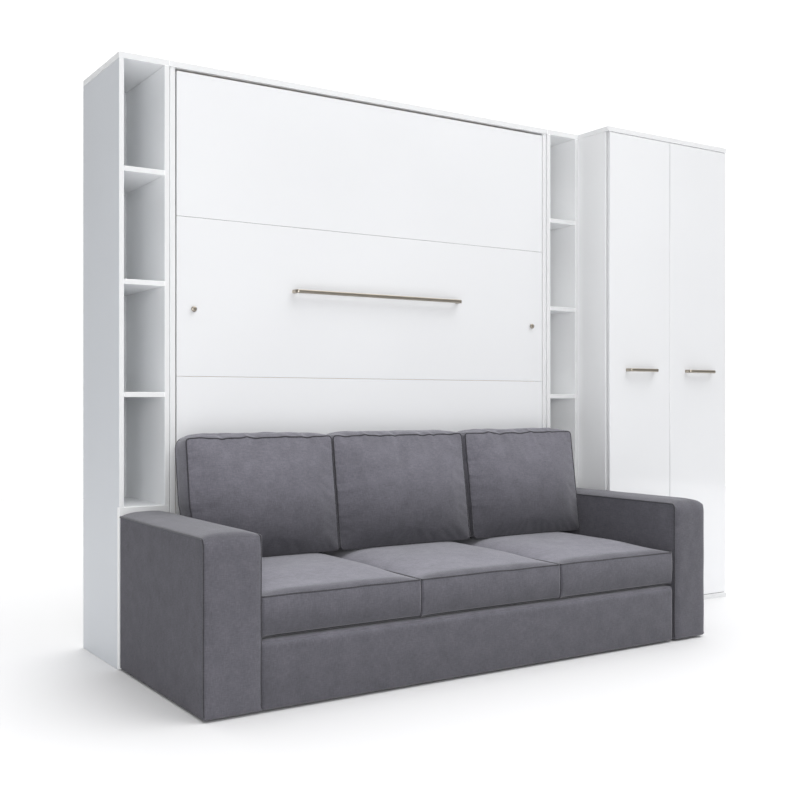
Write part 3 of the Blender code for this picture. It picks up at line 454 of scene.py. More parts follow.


def soft_room(look):
    """Even white light all round, dimmer to the left and brighter above, with a bright wall behind the object.

    Each share of the light is a straight rise along one axis of the direction: the wall's is the product of its
    rises to the back and to the right, and the ceiling's the product of its rises upwards and to the right.
    """
    world = bpy.data.worlds.new("studio")
    world.use_nodes = True
    tree = world.node_tree
    around = add_node(tree, "ShaderNodeTexCoord").outputs["Generated"]
    way = add_node(tree, "ShaderNodeSeparateXYZ", links={0: around})
    rises = []
    for axis, start, end, low, high in (("Y", 0.3, 0.58, 0, 1), ("X", -0.2, 0.1, 0.4, 1),
                                        ("X", -1, 0.4, look.left, look.ambient),
                                        ("Z", 0.2, 0.9, 0, look.above), ("X", -0.6, 0.2, 0.3, 1)):
        values = {"From Min": start, "From Max": end, "To Min": low, "To Max": high}
        rises.append(add_node(tree, "ShaderNodeMapRange", inputs=values, links={"Value": way.outputs[axis]}))
    to_back, to_right, even, upwards, over_right = rises
    behind = add_node(tree, "ShaderNodeMath", {"operation": "MULTIPLY"}, links={0: to_back, 1: to_right})
    level = add_node(tree, "ShaderNodeMath", {"operation": "MULTIPLY_ADD"}, {1: look.wall}, {0: behind, 2: even})
    over = add_node(tree, "ShaderNodeMath", {"operation": "MULTIPLY"}, links={0: upwards, 1: over_right})
    background = tree.nodes["Background"].inputs
    add_node(tree, "ShaderNodeMath", {"operation": "ADD"}, links={0: level, 1: over}, to=background["Strength"])
    background["Color"].default_value = srgb("ffffff")
    return world


# Soft pieces

def mesh_points(piece):
    """The piece's points as an array."""
    flat = np.zeros(len(piece.data.vertices) * 3)
    piece.data.vertices.foreach_get("co", flat)
    return flat.reshape(-1, 3)


def inflate(piece, pins, cap, pressure, frames=15):
    """Blows the closed cover up as cloth from inside, holding its seams, and keeps the result in its mesh.

    The cloth is cut a little larger than the seams hold, so it gathers beside them. A move along an axis is bent
    by a hyperbolic tangent to stay below that axis's cap, so the cover stays clear of its neighbours.
    """
    before = mesh_points(piece)
    piece.vertex_groups.new(name="seams").add([int(number) for number in pins], 1.0, "REPLACE")
    cloth = piece.modifiers.new("cover", "CLOTH")
    for key, value in {"quality": 4, "mass": 0.35, "tension_stiffness": 20, "compression_stiffness": 20,
                       "shear_stiffness": 6, "bending_stiffness": 3.0, "use_pressure": True,
                       "uniform_pressure_force": pressure, "shrink_min": -0.003,
                       "vertex_group_mass": "seams"}.items():
        setattr(cloth.settings, key, value)
    cloth.settings.effector_weights.gravity = 0
    cloth.collision_settings.use_collision = False
    cloth.point_cache.frame_start, cloth.point_cache.frame_end = 1, frames
    scene = bpy.context.scene
    for number in range(1, frames + 1):
        scene.frame_set(number)
    after = mesh_points(piece.evaluated_get(bpy.context.evaluated_depsgraph_get()))
    piece.modifiers.remove(cloth)
    piece.vertex_groups.clear()
    caps = np.array([0.15, 1.0, 0.3]) * cap
    piece.data.vertices.foreach_set("co", (before + caps * np.tanh((after - before) / caps)).ravel())
    piece.data.update()
    scene.frame_set(1)


def smoothed(path, times, closed):
    """The path with each inner point moved half-way to the middle of its neighbours, several times."""
    path = np.array(path)
    for _ in range(times):
        middle = (np.roll(path, 1, 0) + np.roll(path, -1, 0)) / 2
        moved = (path + middle) / 2
        path = moved if closed else np.concatenate([path[:1], moved[1:-1], path[-1:]])
    return path


def add_piping(name, path, facing, body, radius, closed=True):
    """A cloth-covered cord sewn into a seam: ten-sided circles carried along the seam. Its velour is darker than the
    cover as painted shade of the seam's groove.
    """
    points, faces = tube(path, radius, 10, facing, closed)
    add_piece(name, points, faces, finish("piping"), body)


def back_cushion(name, node, body, seed, overhang, look):
    """A loose boxed back cushion: two crowned panels and a boxing band, with piping round both panels.

    The front panel swells by a product of two humps; the whole leans with its height. Puckers along the top seam
    and short creases beside it are bell-shaped ridges, and creases beside the side seams fade exponentially.
    overhang is how far the left side bulges over the arm. Painted shade falls from 0.8 at the foot to -1.2 higher up,
    where it is a painted highlight on the upper front that faces the light.
    """
    low, high = (np.array(corner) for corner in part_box(node))
    spare, fold, corner, deep_corner = 1.5 * MM, 0.006, 0.018, 0.044
    size = np.array([high[0] - low[0] + 2 * spare, look.back_thickness, look.back_seam_top - low[2]])
    start = np.array([low[0] - spare, 0, low[2]])
    cuts = ((deep_corner, 92, 9), (0.010, 18, 4), (deep_corner, 70, 9))
    points, faces, codes, shape, (u, v, w) = soft_box(size, *cuts)
    points = round_off(points, size, fold)
    deep = rise(0, 1, v)[:, None] * (0.3 + 0.7 * rise(0.5, 0.8, w))[:, None]
    tight, loose = (round_off(points, size, radius, (0, 2)) for radius in (corner, deep_corner))
    points = tight * (1 - deep) + loose * deep
    front, back = 1 - rise(0, 0.55, v), rise(0.5, 1, v)
    swell = hump(u, 3.0) * hump(w ** 0.8, 2.3)
    band = hump(v, 2.4)
    at_left, at_side = (1 - u) ** 10, np.abs(2 * u - 1) ** 10
    at_top, at_foot = rise(0.86, 1, w), 1 - rise(0, 0.12, w)
    pucker = ridges(u, seed, 7, 0.026)
    crease = ridges(u, seed + 1, 8, 0.018) * np.exp(-(1 - w) / 0.07)
    side_crease = ridges(w, seed + 2, 9, 0.012) * (np.exp(-u / 0.05) + 0.3 * np.exp(-(1 - u) / 0.03)) * hump(w, 4)
    x = points[:, 0] + (0.5 - u) * 2 * at_side * (0.001 * hump(w, 3) - 0.0025 * band * hump(w, 10))
    x -= at_left * overhang * rise(0.385, 0.46, w)
    y = points[:, 1] - look.back_crown * swell * front + 0.007 * swell * back
    y += front * (0.0014 * crease + 0.0042 * side_crease + 0.0016 * ripple(u, w, seed + 3, 5) * swell)
    z = points[:, 2] + at_top * (look.back_top_crown * band * (0.75 + 0.25 * ripple(u, v, seed + 4, 7)) * hump(u, 8))
    z += at_top * (0.0058 * pucker * front * hump(u, 6) - 0.003 * hump(u, 5) * front)
    z += at_foot * 0.004 * (1 - hump(u, 6)) * hump(v, 4)
    foot, head = look.back_foot, look.back_head
    points = start + np.stack([x, foot + (head - foot) * w + y, z], -1)
    # Painted shade at the foot of the cushion, turning to a painted highlight higher up
    painted_shade = 0.8 - 2.0 * rise(0.05, 0.75, w)
    piece = add_piece(name, points, faces, finish("velour"), body, painted_shade=painted_shade)
    seams = [rim(codes, shape, 1, 0), rim(codes, shape, 1, shape[1] - 1)]
    inflate(piece, np.concatenate(seams), look.pad_cap, look.pad_pressure)
    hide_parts(node)
    done = mesh_points(piece)
    for place, seam in zip(("front", "rear"), seams):
        add_piping(f"{name}_{place}_piping", smoothed(done[seam], 2, True), (0, 1, 0), body, look.piping_radius)


def seat_cushion(name, node, body, seed, look):
    """A boxed seat cushion: a crowned top panel over a band with a slight belly, piping round the top seam.

    The top rises fast behind the seam, then slowly to its crest, and keeps its height under the back cushion;
    across its width it is a flat hump. The lower edges are rounded off by a smooth step of the height. Painted
    shade darkens the foot of the front and the bottom, and a painted highlight lightens the top from just behind the
    seam.
    """
    low, high = (np.array(corner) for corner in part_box(node))
    lower_fold, seam_fold, upright_fold = 0.017, 0.003, 0.008
    size = np.array([high[0] - low[0], high[1] - low[1] + MM, look.seat_edge_height - low[2]])
    start = np.array([low[0], low[1] - MM, low[2]])
    points, faces, codes, shape, (u, v, w) = soft_box(size, (0.02, 60, 6), (0.02, 66, 6), (0.010, 14, 5))
    soft = (1 - rise(0.1, 0.5, w))[:, None]
    points = round_off(points, size, lower_fold, (1, 2)) * soft + round_off(points, size, seam_fold) * (1 - soft)
    points = round_off(points, size, upright_fold, (0, 1))
    top = rise(0.55, 1, w)
    grown = (0.40 * rise(-0.045, 0.045, v) * 2 - 0.40 + 0.60 * rise(0, 0.42, v)) * (1 - rise(0.97, 1, v) * 0.3)
    belly = hump(w, 2.6)
    at_front, at_side = np.exp(-v / 0.03), np.abs(2 * u - 1) ** 12
    x = points[:, 0] + (0.5 - u) * 2 * at_side * (0.003 * hump(v, 3) - 0.001 * belly)
    tuck = 0.0055 * (1 - rise(0, 0.6, w))
    swell = (0.0065 - 0.0085 * belly + tuck) * (0.3 + 0.7 * hump(u, 14))
    y = points[:, 1] + at_front * (swell + 0.0010 * ripple(u, w, seed, 6))
    crown = look.seat_crown * hump(u, 5.5) * grown
    z = points[:, 2] + top * (crown + 0.0014 * ripple(u, v, seed + 1, 6) * hump(u, 2))
    points = start + np.stack([x, y, z], -1)
    # Painted shade at the foot of the front and round the bottom; painted highlight on the top behind the seam
    painted_shade = 0.7 * at_front * (1 - rise(0.1, 0.9, w)) + 1.3 * (1 - rise(0, 0.05, w))
    painted_shade -= 2.2 * rise(0.93, 1, w) * rise(0.01, 0.1, v)
    piece = add_piece(name, points, faces, finish("velour"), body, painted_shade=painted_shade)
    seam = rim(codes, shape, 2, shape[2] - 1)
    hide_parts(node)
    done = mesh_points(piece)
    add_piping(f"{name}_piping", smoothed(done[seam], 1, True), (0, 0, 1), body, look.piping_radius)


def sofa_arm(name, node, seed, piped, look):
    """An upholstered arm: two flat side panels and one band that runs over the top and down the front.

    The band is crowned across its width and its top front corner is a quarter circle, wide in the middle and
    tight at the seams. A piping cord runs along the top and front edge of each piped side; the other side's edge
    is a soft fold. The outer side's pile lies flat, so it wears the velour with less sheen.
    """
    low, high = (np.array(corner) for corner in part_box(node))
    low[2] = look.glide_height
    middle_bend, seam_bend, foot_bend, fold = 0.042, 0.019, 0.009, 0.005
    size = np.array([high[0] - low[0], high[1] - low[1], look.arm_height - low[2]])
    points, faces, codes, shape, (u, v, w) = soft_box(size, (0.008, 26, 4), (0.045, 56, 9), (0.045, 44, 9))
    across, over = hump(u, 6), hump(u, 3)
    middle, seams, foot = (round_off(points, size, bend, (1, 2)) for bend in (middle_bend, seam_bend, foot_bend))
    corner = middle * across[:, None] + seams * (1 - across)[:, None]
    soft = (rise(0.1, 0.3, w) * (1 - rise(0.7, 0.9, v)))[:, None]
    points = round_off(corner * soft + foot * (1 - soft), size, fold)
    if len(piped) == 1:
        folded = rise(0.55, 0.7, u)[:, None]
        bent = round_off(round_off(points, size, 0.018, (0, 2)), size, 0.014, (0, 1))
        points = points * (1 - folded) + bent * folded
    top = rise(0.86, 1, w)
    front = 1 - rise(0, 0.06, v)
    x = points[:, 0] + (2 * u - 1) * np.abs(2 * u - 1) ** 6 * 0.0022 * hump(v, 4) * hump(w, 4)
    y = points[:, 1] + front * (0.008 * (1 - across) * rise(0, 0.03, w) + 0.0008 * ripple(u, w, seed, 5))
    crown = look.arm_crown * over * (1 - 0.35 * (1 - rise(0, 0.12, v)))
    z = points[:, 2] + top * (crown + 0.0006 * ripple(v, u, seed + 1, 7))
    points = low + np.stack([x, y, z], -1)
    # Painted shade: the top is darkened, and so is the front face below it, more on the right arm
    painted_shade = 0.25 * rise(0.99, 1, w)
    painted_shade += (0.12 if len(piped) == 2 else 0.35) * (1 - rise(0, 0.03, v)) * (1 - rise(0.9, 1, w))
    piece = add_piece(name, points, faces, finish("velour"), "cabinet", painted_shade=painted_shade)
    piece.data.materials.append(finish("velour_outside"))
    outer_end = 0 if len(piped) == 2 else 1
    piece.data.polygons.foreach_set("material_index", (u[faces] == outer_end).all(axis=1).astype(np.int32))
    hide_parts(node)
    done = mesh_points(piece)
    j = np.concatenate([np.arange(shape[1] - 2, 0, -1), np.zeros(shape[2] - 4, int)])
    k = np.concatenate([np.full(shape[1] - 2, shape[2] - 1), np.arange(shape[2] - 1, 3, -1)])
    for place in piped:
        i = 0 if place == "left" else shape[0] - 1
        seam = np.searchsorted(codes, np.ravel_multi_index((np.full(len(j), i), j, k), shape))
        path = smoothed(done[seam], 2, False)
        path[:, 0] += -0.4 * MM if i == 0 else 0.4 * MM
        add_piping(f"{name}_{place}_piping", path, (1, 0, 0), "cabinet", look.piping_radius, closed=False)


def upholstered_panel(name, node, radius, seed, bottom=None, roll=0.0, belly=0.0015):
    """A covered frame part: a box with rounded edges whose cover is drawn almost flat, with a faint swell.

    roll is the larger radius of the top front edge, where the cover runs over a soft roll. Short bell-shaped
    ridges pull at the foot. Painted shade falls from 0.52 at the foot; a painted highlight lies on the roll, and
    painted shade on the top behind it.
    """
    low, high = (np.array(corner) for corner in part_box(node))
    if bottom is not None:
        low[2] = bottom
    size = high - low
    bend = max(radius, roll)
    points, faces, _, _, (u, _, w) = soft_box(size, (radius, 110, 5), (bend, 16, 7), (bend, 18, 7))
    front = np.exp(-points[:, 1] / 0.02)
    soft = (rise(0.4, 0.7, w) * front)[:, None]
    rolled = round_off(points, size, bend, (1, 2))
    points = round_off(rolled * soft + points * (1 - soft), size, radius)
    points[:, 2] -= min(roll, 0.005) * rise(0.6, 1, w)
    pull = ridges(u, seed, 34, 0.006) * (1 - rise(0, 0.75, w)) * 0.0008
    points[:, 1] += front * (belly * (1 - hump(w, 2) * hump(u, 12)) + pull * hump(u, 12))
    # Painted shade at the foot and on the top behind the roll; painted highlight on the roll
    painted_shade = 0.22 + 0.3 * (1 - rise(0, 0.9, w)) - 0.9 * rise(0.86, 1, w) * hump(u, 60)
    painted_shade += 3.0 * rise(0.7 * roll, 1.2 * roll + MM, points[:, 1]) * rise(0.97, 1, w)
    piece = add_piece(name, low + points, faces, finish("velour"), "cabinet", painted_shade=painted_shade)
    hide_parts(node)


def quilted_mattress():
    """The mattress: quilted panels on both faces and a plain border between two rows of piping.

    The quilting is the root of a product of two sine waves laid crosswise, in squares of 90 mm whose diagonal is
    the waves' length, and it fades towards the seams.
    """
    low, high = (np.array(corner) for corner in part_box("mattress"))
    size = high - low
    points, faces, codes, shape, (u, v, w) = soft_box(size, (0.03, 130, 5), (0.02, 10, 5), (0.03, 160, 5))
    x0, z0 = points[:, 0].copy(), points[:, 2].copy()
    points = round_off(points, size, 0.008)
    points = round_off(points, size, 0.045, (0, 2))
    diagonal = 0.127
    wave = np.abs(np.sin(math.pi * (x0 + z0) / diagonal) * np.sin(math.pi * (x0 - z0) / diagonal)) ** 0.5
    inner = hump(u, 30) * hump(w, 30)
    dent = (0.006 * (1 - wave) + 0.001) * inner
    points[:, 1] += dent * (1 - rise(0, 0.3, v)) - dent * rise(0.7, 1, v)
    rim_draw = 0.006 * hump(v, 2)
    points[:, 0] += (0.5 - u) * 2 * (np.abs(2 * u - 1) ** 20) * rim_draw
    points[:, 2] += (0.5 - w) * 2 * (np.abs(2 * w - 1) ** 20) * rim_draw
    piece = add_piece("quilted_mattress", low + points, faces, finish("ticking"), "bed")
    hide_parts("mattress")
    done = mesh_points(piece)
    for place, end in (("under", 0), ("upper", shape[1] - 1)):
        path = smoothed(done[rim(codes, shape, 1, end)], 2, True)
        points, faces = tube(path, 0.003, 8, (0, 1, 0), True)
        add_piece(f"mattress_{place}_piping", points, faces, finish("ticking"), "bed")


# Fittings

def rounded_section(width, height, radius, steps):
    """Points round a rectangle with rounded corners, in order: a circle pulled apart into four quarters."""
    turn = np.linspace(0, 2 * math.pi, steps, endpoint=False) + math.pi / steps
    cos, sin = np.cos(turn), np.sin(turn)
    across, up = np.sign(cos) * (width / 2 - radius), np.sign(sin) * (height / 2 - radius)
    return np.stack([across + cos * radius, up + sin * radius], -1)


def bar_handle(name, node, body, look):
    """A pull: one square bar with rounded edges, bent back to the front at both ends.

    The section is carried along a route of three straight runs joined by quarter circles, square to the route.
    """
    low, high = (np.array(corner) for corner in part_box(node))
    bar = look.handle_bar
    half, front, back = bar / 2, low[1] + bar / 2, high[1]
    route = route_round([(low[0] + half, back, 0), (low[0] + half, front, 0), (high[0] - half, front, 0),
                         (high[0] - half, back, 0)], half + look.handle_bend)
    keep = np.concatenate([[True], np.linalg.norm(np.diff(route, axis=0), axis=1) > 1e-6])
    route = route[keep]
    runs = np.diff(route, axis=0)
    runs /= np.linalg.norm(runs, axis=1, keepdims=True)
    ahead = np.concatenate([runs[:1], runs[:-1] + runs[1:], runs[-1:]])
    ahead /= np.linalg.norm(ahead, axis=1, keepdims=True)
    aside = np.stack([-ahead[:, 1], ahead[:, 0]], -1)
    section = rounded_section(bar, bar, bar * 0.24, 28)
    rings = np.zeros((len(route), len(section), 3))
    rings[..., :2] = route[:, None, :2] - section[:, :1] * aside[:, None]
    rings[..., 2] = (low[2] + high[2]) / 2 + section[:, 1]
    points, faces = loft(rings)
    piece = add_piece(name, points, faces, finish("nickel"), body, 40)
    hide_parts(node)


def flat_bar(outline, start, end):
    """An outline of (x, z) points carried from one y to another, and drawn in at both ends to soften the edges."""
    outline = np.asarray(outline, float)
    centre = outline.mean(0)
    inset, half_width = 0.0006, 0.012
    drawn_in = 1 - inset / half_width
    steps = ((start, drawn_in), (start + inset, 1.0), (end - inset, 1.0), (end, drawn_in))
    rings = np.zeros((4, len(outline), 3))
    for ring, (y, scale) in zip(rings, steps):
        flat = centre + (outline - centre) * scale
        ring[:, 0], ring[:, 1], ring[:, 2] = flat[:, 0], y, flat[:, 1]
    return loft(rings)


def turn_latch(side, look):
    """The knob, its neck and its spindle as one turned profile, and the cam, a bar with round ends, behind them."""
    node = f"latch_{side}"
    low, high = (np.array(corner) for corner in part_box(node))
    centre_x = (low[0] + high[0]) / 2
    centre_z = high[2] - look.cam_width / 2
    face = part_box("front_board_2")[0][1]
    r, reach = look.knob_radius, look.knob_reach
    profile = [(0.0002, reach), (r * 0.45, reach - 0.0002), (r * 0.80, reach - 0.0009), (r * 0.95, reach - 0.0020),
               (r, reach - 0.0034), (r * 0.99, 0.0048), (r * 0.93, 0.0036), (r * 0.74, 0.0026), (r * 0.70, 0.0012),
               (r * 0.72, 0.0004), (0.0048, 0.0003), (0.0048, -0.0180), (0.0002, -0.0181)]
    points, faces = turned(profile[::-1], (centre_x, face, centre_z), (0, -1, 0))
    piece = add_piece(f"latch_{side}_knob", points, faces, finish("nickel"), node, 40)
    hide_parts(node)
    half = look.cam_width / 2
    turn = np.linspace(0, math.pi, 17)
    tip = low[2] + half
    outline = [(centre_x + half * math.cos(a), centre_z + half * math.sin(a)) for a in turn]
    outline += [(centre_x - half * math.cos(a), tip - half * math.sin(a)) for a in turn]
    cam_thickness = 0.004
    points, faces = flat_bar(outline[::-1], high[1] - cam_thickness, high[1])
    add_piece(f"latch_{side}_cam", points, faces, finish("steel"), node, 40)


def route_round(route, bend, steps=9):
    """A route of straight runs whose corners are quarter circles of the bend radius, worked out by sines."""
    route = np.asarray(route, float)
    pieces = [route[:1]]
    turn = np.linspace(0, math.pi / 2, steps)[:, None]
    for before, corner, after in zip(route, route[1:], route[2:]):
        start = corner + (before - corner) / np.linalg.norm(before - corner) * bend
        end = corner + (after - corner) / np.linalg.norm(after - corner) * bend
        centre = start + end - corner
        pieces.append(centre + (start - centre) * np.cos(turn) + (end - centre) * np.sin(turn))
    return np.concatenate([*pieces, route[-1:]])


def swing_legs(look):
    """The bent tube of the legs, circles carried along a rounded route, with a turned rubber cap on each end."""
    low, high = (np.array(corner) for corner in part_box("leg_frame"))
    r = look.leg_radius
    shaft = np.array([0, high[1] - r, high[2] - r])
    arm_y = low[1] + r
    left, right = low[0] + r, high[0] - r
    route = [(left, arm_y, low[2] + 0.002), (left, arm_y, shaft[2]), (left, shaft[1], shaft[2]),
             (right, shaft[1], shaft[2]), (right, arm_y, shaft[2]), (right, arm_y, low[2] + 0.002)]
    points, faces = tube(route_round(route, 0.014), r, 28, (0.57, 0.58, 0.59))
    piece = add_piece("leg_tube", points, faces, finish("steel"), "leg_frame")
    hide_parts("leg_frame")
    cap = [(0.0003, 0), (r * 1.05, 0.0004), (r * 1.32, 0.002), (r * 1.34, 0.010), (r * 1.18, 0.020), (r * 1.12, 0.026),
           (r * 1.005, 0.0265), (0.0003, 0.0266)]
    for side, x in zip(SIDES, (left, right)):
        points, faces = turned(cap, (x, arm_y, low[2]), (0, 0, 1))
        add_piece(f"leg_foot_{side}", points, faces, finish("rubber"), "leg_frame", 50)


def hanging_rail():
    """The wardrobe's round rail, a tube, and at each end a cup, a profile carried round the rail's axis."""
    low, high = (np.array(corner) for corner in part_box("hanging_rail"))
    radius = (high[2] - low[2]) / 2
    centre = (low + high) / 2
    x = np.linspace(low[0] + radius, high[0] - radius, 12)
    path = np.stack([x, np.full_like(x, centre[1]), np.full_like(x, centre[2])], -1)
    points, faces = tube(path, radius, 36, (0, 0, 1))
    piece = add_piece("wardrobe_rail", points, faces, finish("steel"), "cabinet")
    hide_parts("hanging_rail")
    cup = [(0.0003, 0), (radius * 1.7, 0), (radius * 1.75, 0.001), (radius * 1.7, 0.003), (radius * 1.25, 0.0045),
           (radius * 1.22, 0.014), (radius * 1.15, 0.0150), (0.0003, 0.0151)]
    for side, start, way in (("left", low[0] + 0.0002, 1), ("right", high[0] - 0.0002, -1)):
        points, faces = turned(cup, (start, centre[1], centre[2]), (way, 0, 0))
        add_piece(f"rail_cup_{side}", points, faces, finish("steel"), "cabinet", 40)


def glides(look):
    """Rubber glides under the sofa's arms and base: low turned discs with a rounded rim."""
    from_side, from_front, from_back = 0.08, 0.08, 0.11
    spots = {}
    for node in ("sofa_arm_left", "sofa_arm_right"):
        low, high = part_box(node)
        spots[node] = [((low[0] + high[0]) / 2, y) for y in (low[1] + from_front, high[1] - from_back)]
    low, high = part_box("seat_base")
    spots["seat_base"] = [(x, y) for x in (low[0] + from_side, high[0] - from_side)
                          for y in (low[1] + from_front, high[1] - from_front)]
    h = look.glide_height + 0.002
    disc = [(0.0003, 0), (0.017, 0), (0.0195, 0.0008), (0.020, 0.0025), (0.020, h), (0.0003, h)]
    for node, places in spots.items():
        for number, (x, y) in enumerate(places):
            points, faces = turned(disc, (x, y, 0), (0, 0, 1), 40)
            add_piece(f"{node}_glide_{number + 1}", points, faces, finish("rubber"), "cabinet", 40)


def lens_screws(name, centres, axis, body, radius=0.0055):
    """Lens-headed screws, each a profile of radii and heights carried once round its axis."""
    head = [(0.0002, 0.0026), (radius * 0.3, 0.0025), (radius * 0.75, 0.0018), (radius * 0.97, 0.0007), (radius, 0)]
    for number, centre in enumerate(centres):
        points, faces = turned(head[::-1], centre, axis, 24)
        add_piece(f"{name}_{number + 1}", points, faces, finish("steel"), body, 40)


# Settings that a user would change

class WallBedSofaSettings(bpy.types.PropertyGroup):
    """Sizes of the upholstery."""
    seat_edge_height: FloatProperty(name="Seat edge", description="Height of the seat cushions' top seam",
                                    default=0.352, unit="LENGTH")
    seat_crown: FloatProperty(name="Seat crown", description="Rise of the seat cushions above their seam",
                              default=0.0345, unit="LENGTH")
    back_thickness: FloatProperty(name="Back cushion", description="Depth of the back cushions' boxing",
                                  default=0.105, unit="LENGTH")
    back_crown: FloatProperty(name="Back crown", description="Swell of the back cushions' front panel", default=0.046,
                              unit="LENGTH")
    back_top_crown: FloatProperty(name="Back top crown", description="Swell of the boxing on top", default=0.013,
                                  unit="LENGTH")
    back_seam_top: FloatProperty(name="Back seam", description="Height of the back cushions' upper seams",
                                 default=0.816, unit="LENGTH")
    back_foot: FloatProperty(name="Back foot", description="Y of the back cushions' front seam at the foot",
                             default=-0.043, unit="LENGTH")
    back_head: FloatProperty(name="Back head", description="Y of the back cushions' front seam at the top",
                             default=0.018, unit="LENGTH")
    arm_height: FloatProperty(name="Arm height", description="Height of the arms' upper seams", default=0.540,
                              unit="LENGTH")
    arm_crown: FloatProperty(name="Arm crown", description="Rise of the arms above their seams", default=0.0145,
                             unit="LENGTH")
    glide_height: FloatProperty(name="Glides", description="Height of the sofa above the floor", default=0.008,
                                unit="LENGTH")
    piping_radius: FloatProperty(name="Piping", description="Radius of the piping cord", default=0.0030, unit="LENGTH")
    overhang: FloatProperty(name="Overhang", description="Bulge of the left back cushion over its arm", default=0.005,
                            unit="LENGTH")
    pad_pressure: FloatProperty(name="Filling", description="Pressure that fills the back cushions", default=2.1)
    pad_cap: FloatProperty(name="Filling limit", description="Furthest that the filling moves a cover", default=0.007,
                           unit="LENGTH")


class WallBedFittingSettings(bpy.types.PropertyGroup):
    """Sizes of the handles, latches and legs."""
    handle_bar: FloatProperty(name="Bar", description="Thickness of the handles' bar", default=0.014, unit="LENGTH")
    handle_bend: FloatProperty(name="Bend", description="Inner radius of the handles' bends", default=0.0015,
                               unit="LENGTH")
    knob_radius: FloatProperty(name="Knob", description="Radius of the latch knobs", default=0.0103, unit="LENGTH")
    knob_reach: FloatProperty(name="Knob reach", description="How far the knobs stand off the front", default=0.012,
                              unit="LENGTH")
    cam_width: FloatProperty(name="Cam", description="Width of the latch cams", default=0.024, unit="LENGTH")
    leg_radius: FloatProperty(name="Leg tube", description="Radius of the swinging legs' tube", default=0.008,
                              unit="LENGTH")


class WallBedFinishSettings(bpy.types.PropertyGroup):
    """Colours of the finishes, each as sRGB hex codes from one end of its pattern to the other."""
    cover: StringProperty(name="Cover", description="Velour of the sofa", default="4b4a50 56555c 615f67")
    # Darker than the cover: painted shade of the seams' grooves
    piping: StringProperty(name="Piping", description="Velour of the piping", default="2e2d32 37363b 414045")
    boards: StringProperty(name="Boards", description="Melamine of the cabinets", default="f8f9fa fbfcfd")
    # A cooler white, darker than the boards: painted shade of the left side
    outer_side: StringProperty(name="Outer side", description="Melamine of the left side", default="d8dce1 dbdfe4")
    edge_band: StringProperty(name="Edge band", description="Edge band on the boards' front edges", default="dddedf")
    fronts: StringProperty(name="Fronts", description="Lacquer of the bed front and the doors", default="e3e4e6 e6e7e9")
    back_sheets: StringProperty(name="Back sheets", description="Paint of the back sheets", default="eceeef f3f4f5")
    handles: StringProperty(name="Handles", description="Nickel of the handles and knobs", default="9a9388 b4aca0")
    steel: StringProperty(name="Steel", description="Zinc-plated steel inside", default="9da1a6 c3c7cb")
    slats: StringProperty(name="Slats", description="Birch plywood of the slats", default="c39c6b d6b384 e2c79d")
    mattress: StringProperty(name="Mattress", description="Ticking of the mattress", default="c8c8c3 b8b7b2")
    rubber: StringProperty(name="Rubber", description="Glides and the legs' caps", default="1c1c1d 3a3a3b")


class WallBedStageSettings(bpy.types.PropertyGroup):
    """Camera and light."""
    lens: FloatProperty(name="Lens", description="Focal length in millimetres", default=48.22)
    turn: FloatProperty(name="Turn", description="Camera's turn to the right of the wall's direction",
                        default=math.radians(33.17), subtype="ANGLE")
    place: FloatVectorProperty(name="Place", description="Camera's place", subtype="TRANSLATION",
                               default=(-2.69665, -3.5112, 0.9367))
    rise: FloatProperty(name="Rise", description="Upward shift of the frame", default=0.00385)
    ambient: FloatProperty(name="Ambient", description="Strength of the even light", default=0.24)
    left: FloatProperty(name="Left", description="Strength of the light from the left", default=0.0)
    above: FloatProperty(name="Above", description="Added strength of the light from above", default=2.0)
    wall: FloatProperty(name="Wall", description="Added strength of the wall behind", default=0.8)
    overhead: FloatProperty(name="Overhead", description="Power of the ceiling panel", default=66.0)
    key: FloatProperty(name="Key", description="Power of the front panel", default=158.0)


# Operators

class WALLBED_OT_cabinet_finishes(bpy.types.Operator):
    """Gives every board, sheet and rail of the cabinets and the bed its finish."""
    bl_idname = "wallbed.cabinet_finishes"
    bl_label = "Finish boards"

    def execute(self, context):
        for row in frame["record"]["subparts"]:
            node = frame["nodes"][row["node"]]
            node.data.materials.clear()
            node.data.materials.append(finish(FINISH_OF_NODE.get(row["node"], FINISH_OF_SLOT[row["material_slot"]])))
        return {"FINISHED"}


class WALLBED_OT_fittings(bpy.types.Operator):
    """Makes the handles, latches, swinging legs, hanging rail and screws."""
    bl_idname = "wallbed.fittings"
    bl_label = "Make fittings"

    def execute(self, context):
        look = context.scene.wall_bed_fittings
        bar_handle("bed_pull", "bed_handle", "bed", look)
        for side in SIDES:
            bar_handle(f"door_pull_{side}", f"door_handle_{side}", f"door_{side}", look)
            turn_latch(side, look)
        swing_legs(look)
        hanging_rail()
        thickness, from_front, from_back, from_edge = 0.0045, 0.045, 0.015, 0.016
        for side, way in zip(SIDES, (1, -1)):
            low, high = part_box(f"pivot_plate_{side}")
            x = low[0] + thickness if way > 0 else high[0] - thickness
            spots = [(x, y, z) for y in (low[1] + from_front, high[1] - from_back)
                     for z in (low[2] + from_edge, high[2] - from_edge)]
            lens_screws(f"plate_screw_{side}", spots, (way, 0, 0), "cabinet")
        return {"FINISHED"}


class WALLBED_OT_sofa_frame(bpy.types.Operator):
    """Covers the sofa's arms, base and back board, and sets the sofa on its glides."""
    bl_idname = "wallbed.sofa_frame"
    bl_label = "Cover sofa frame"

    def execute(self, context):
        look = context.scene.wall_bed_sofa
        for number, (side, piped) in enumerate((("left", ("left", "right")), ("right", ("left",)))):
            sofa_arm(f"arm_cover_{side}", f"sofa_arm_{side}", 11 + number, piped, look)
        upholstered_panel("base_cover", "seat_base", 0.010, 13, look.glide_height, roll=0.024)
        upholstered_panel("back_board_cover", "sofa_back_board", 0.008, 14)
        glides(look)
        return {"FINISHED"}


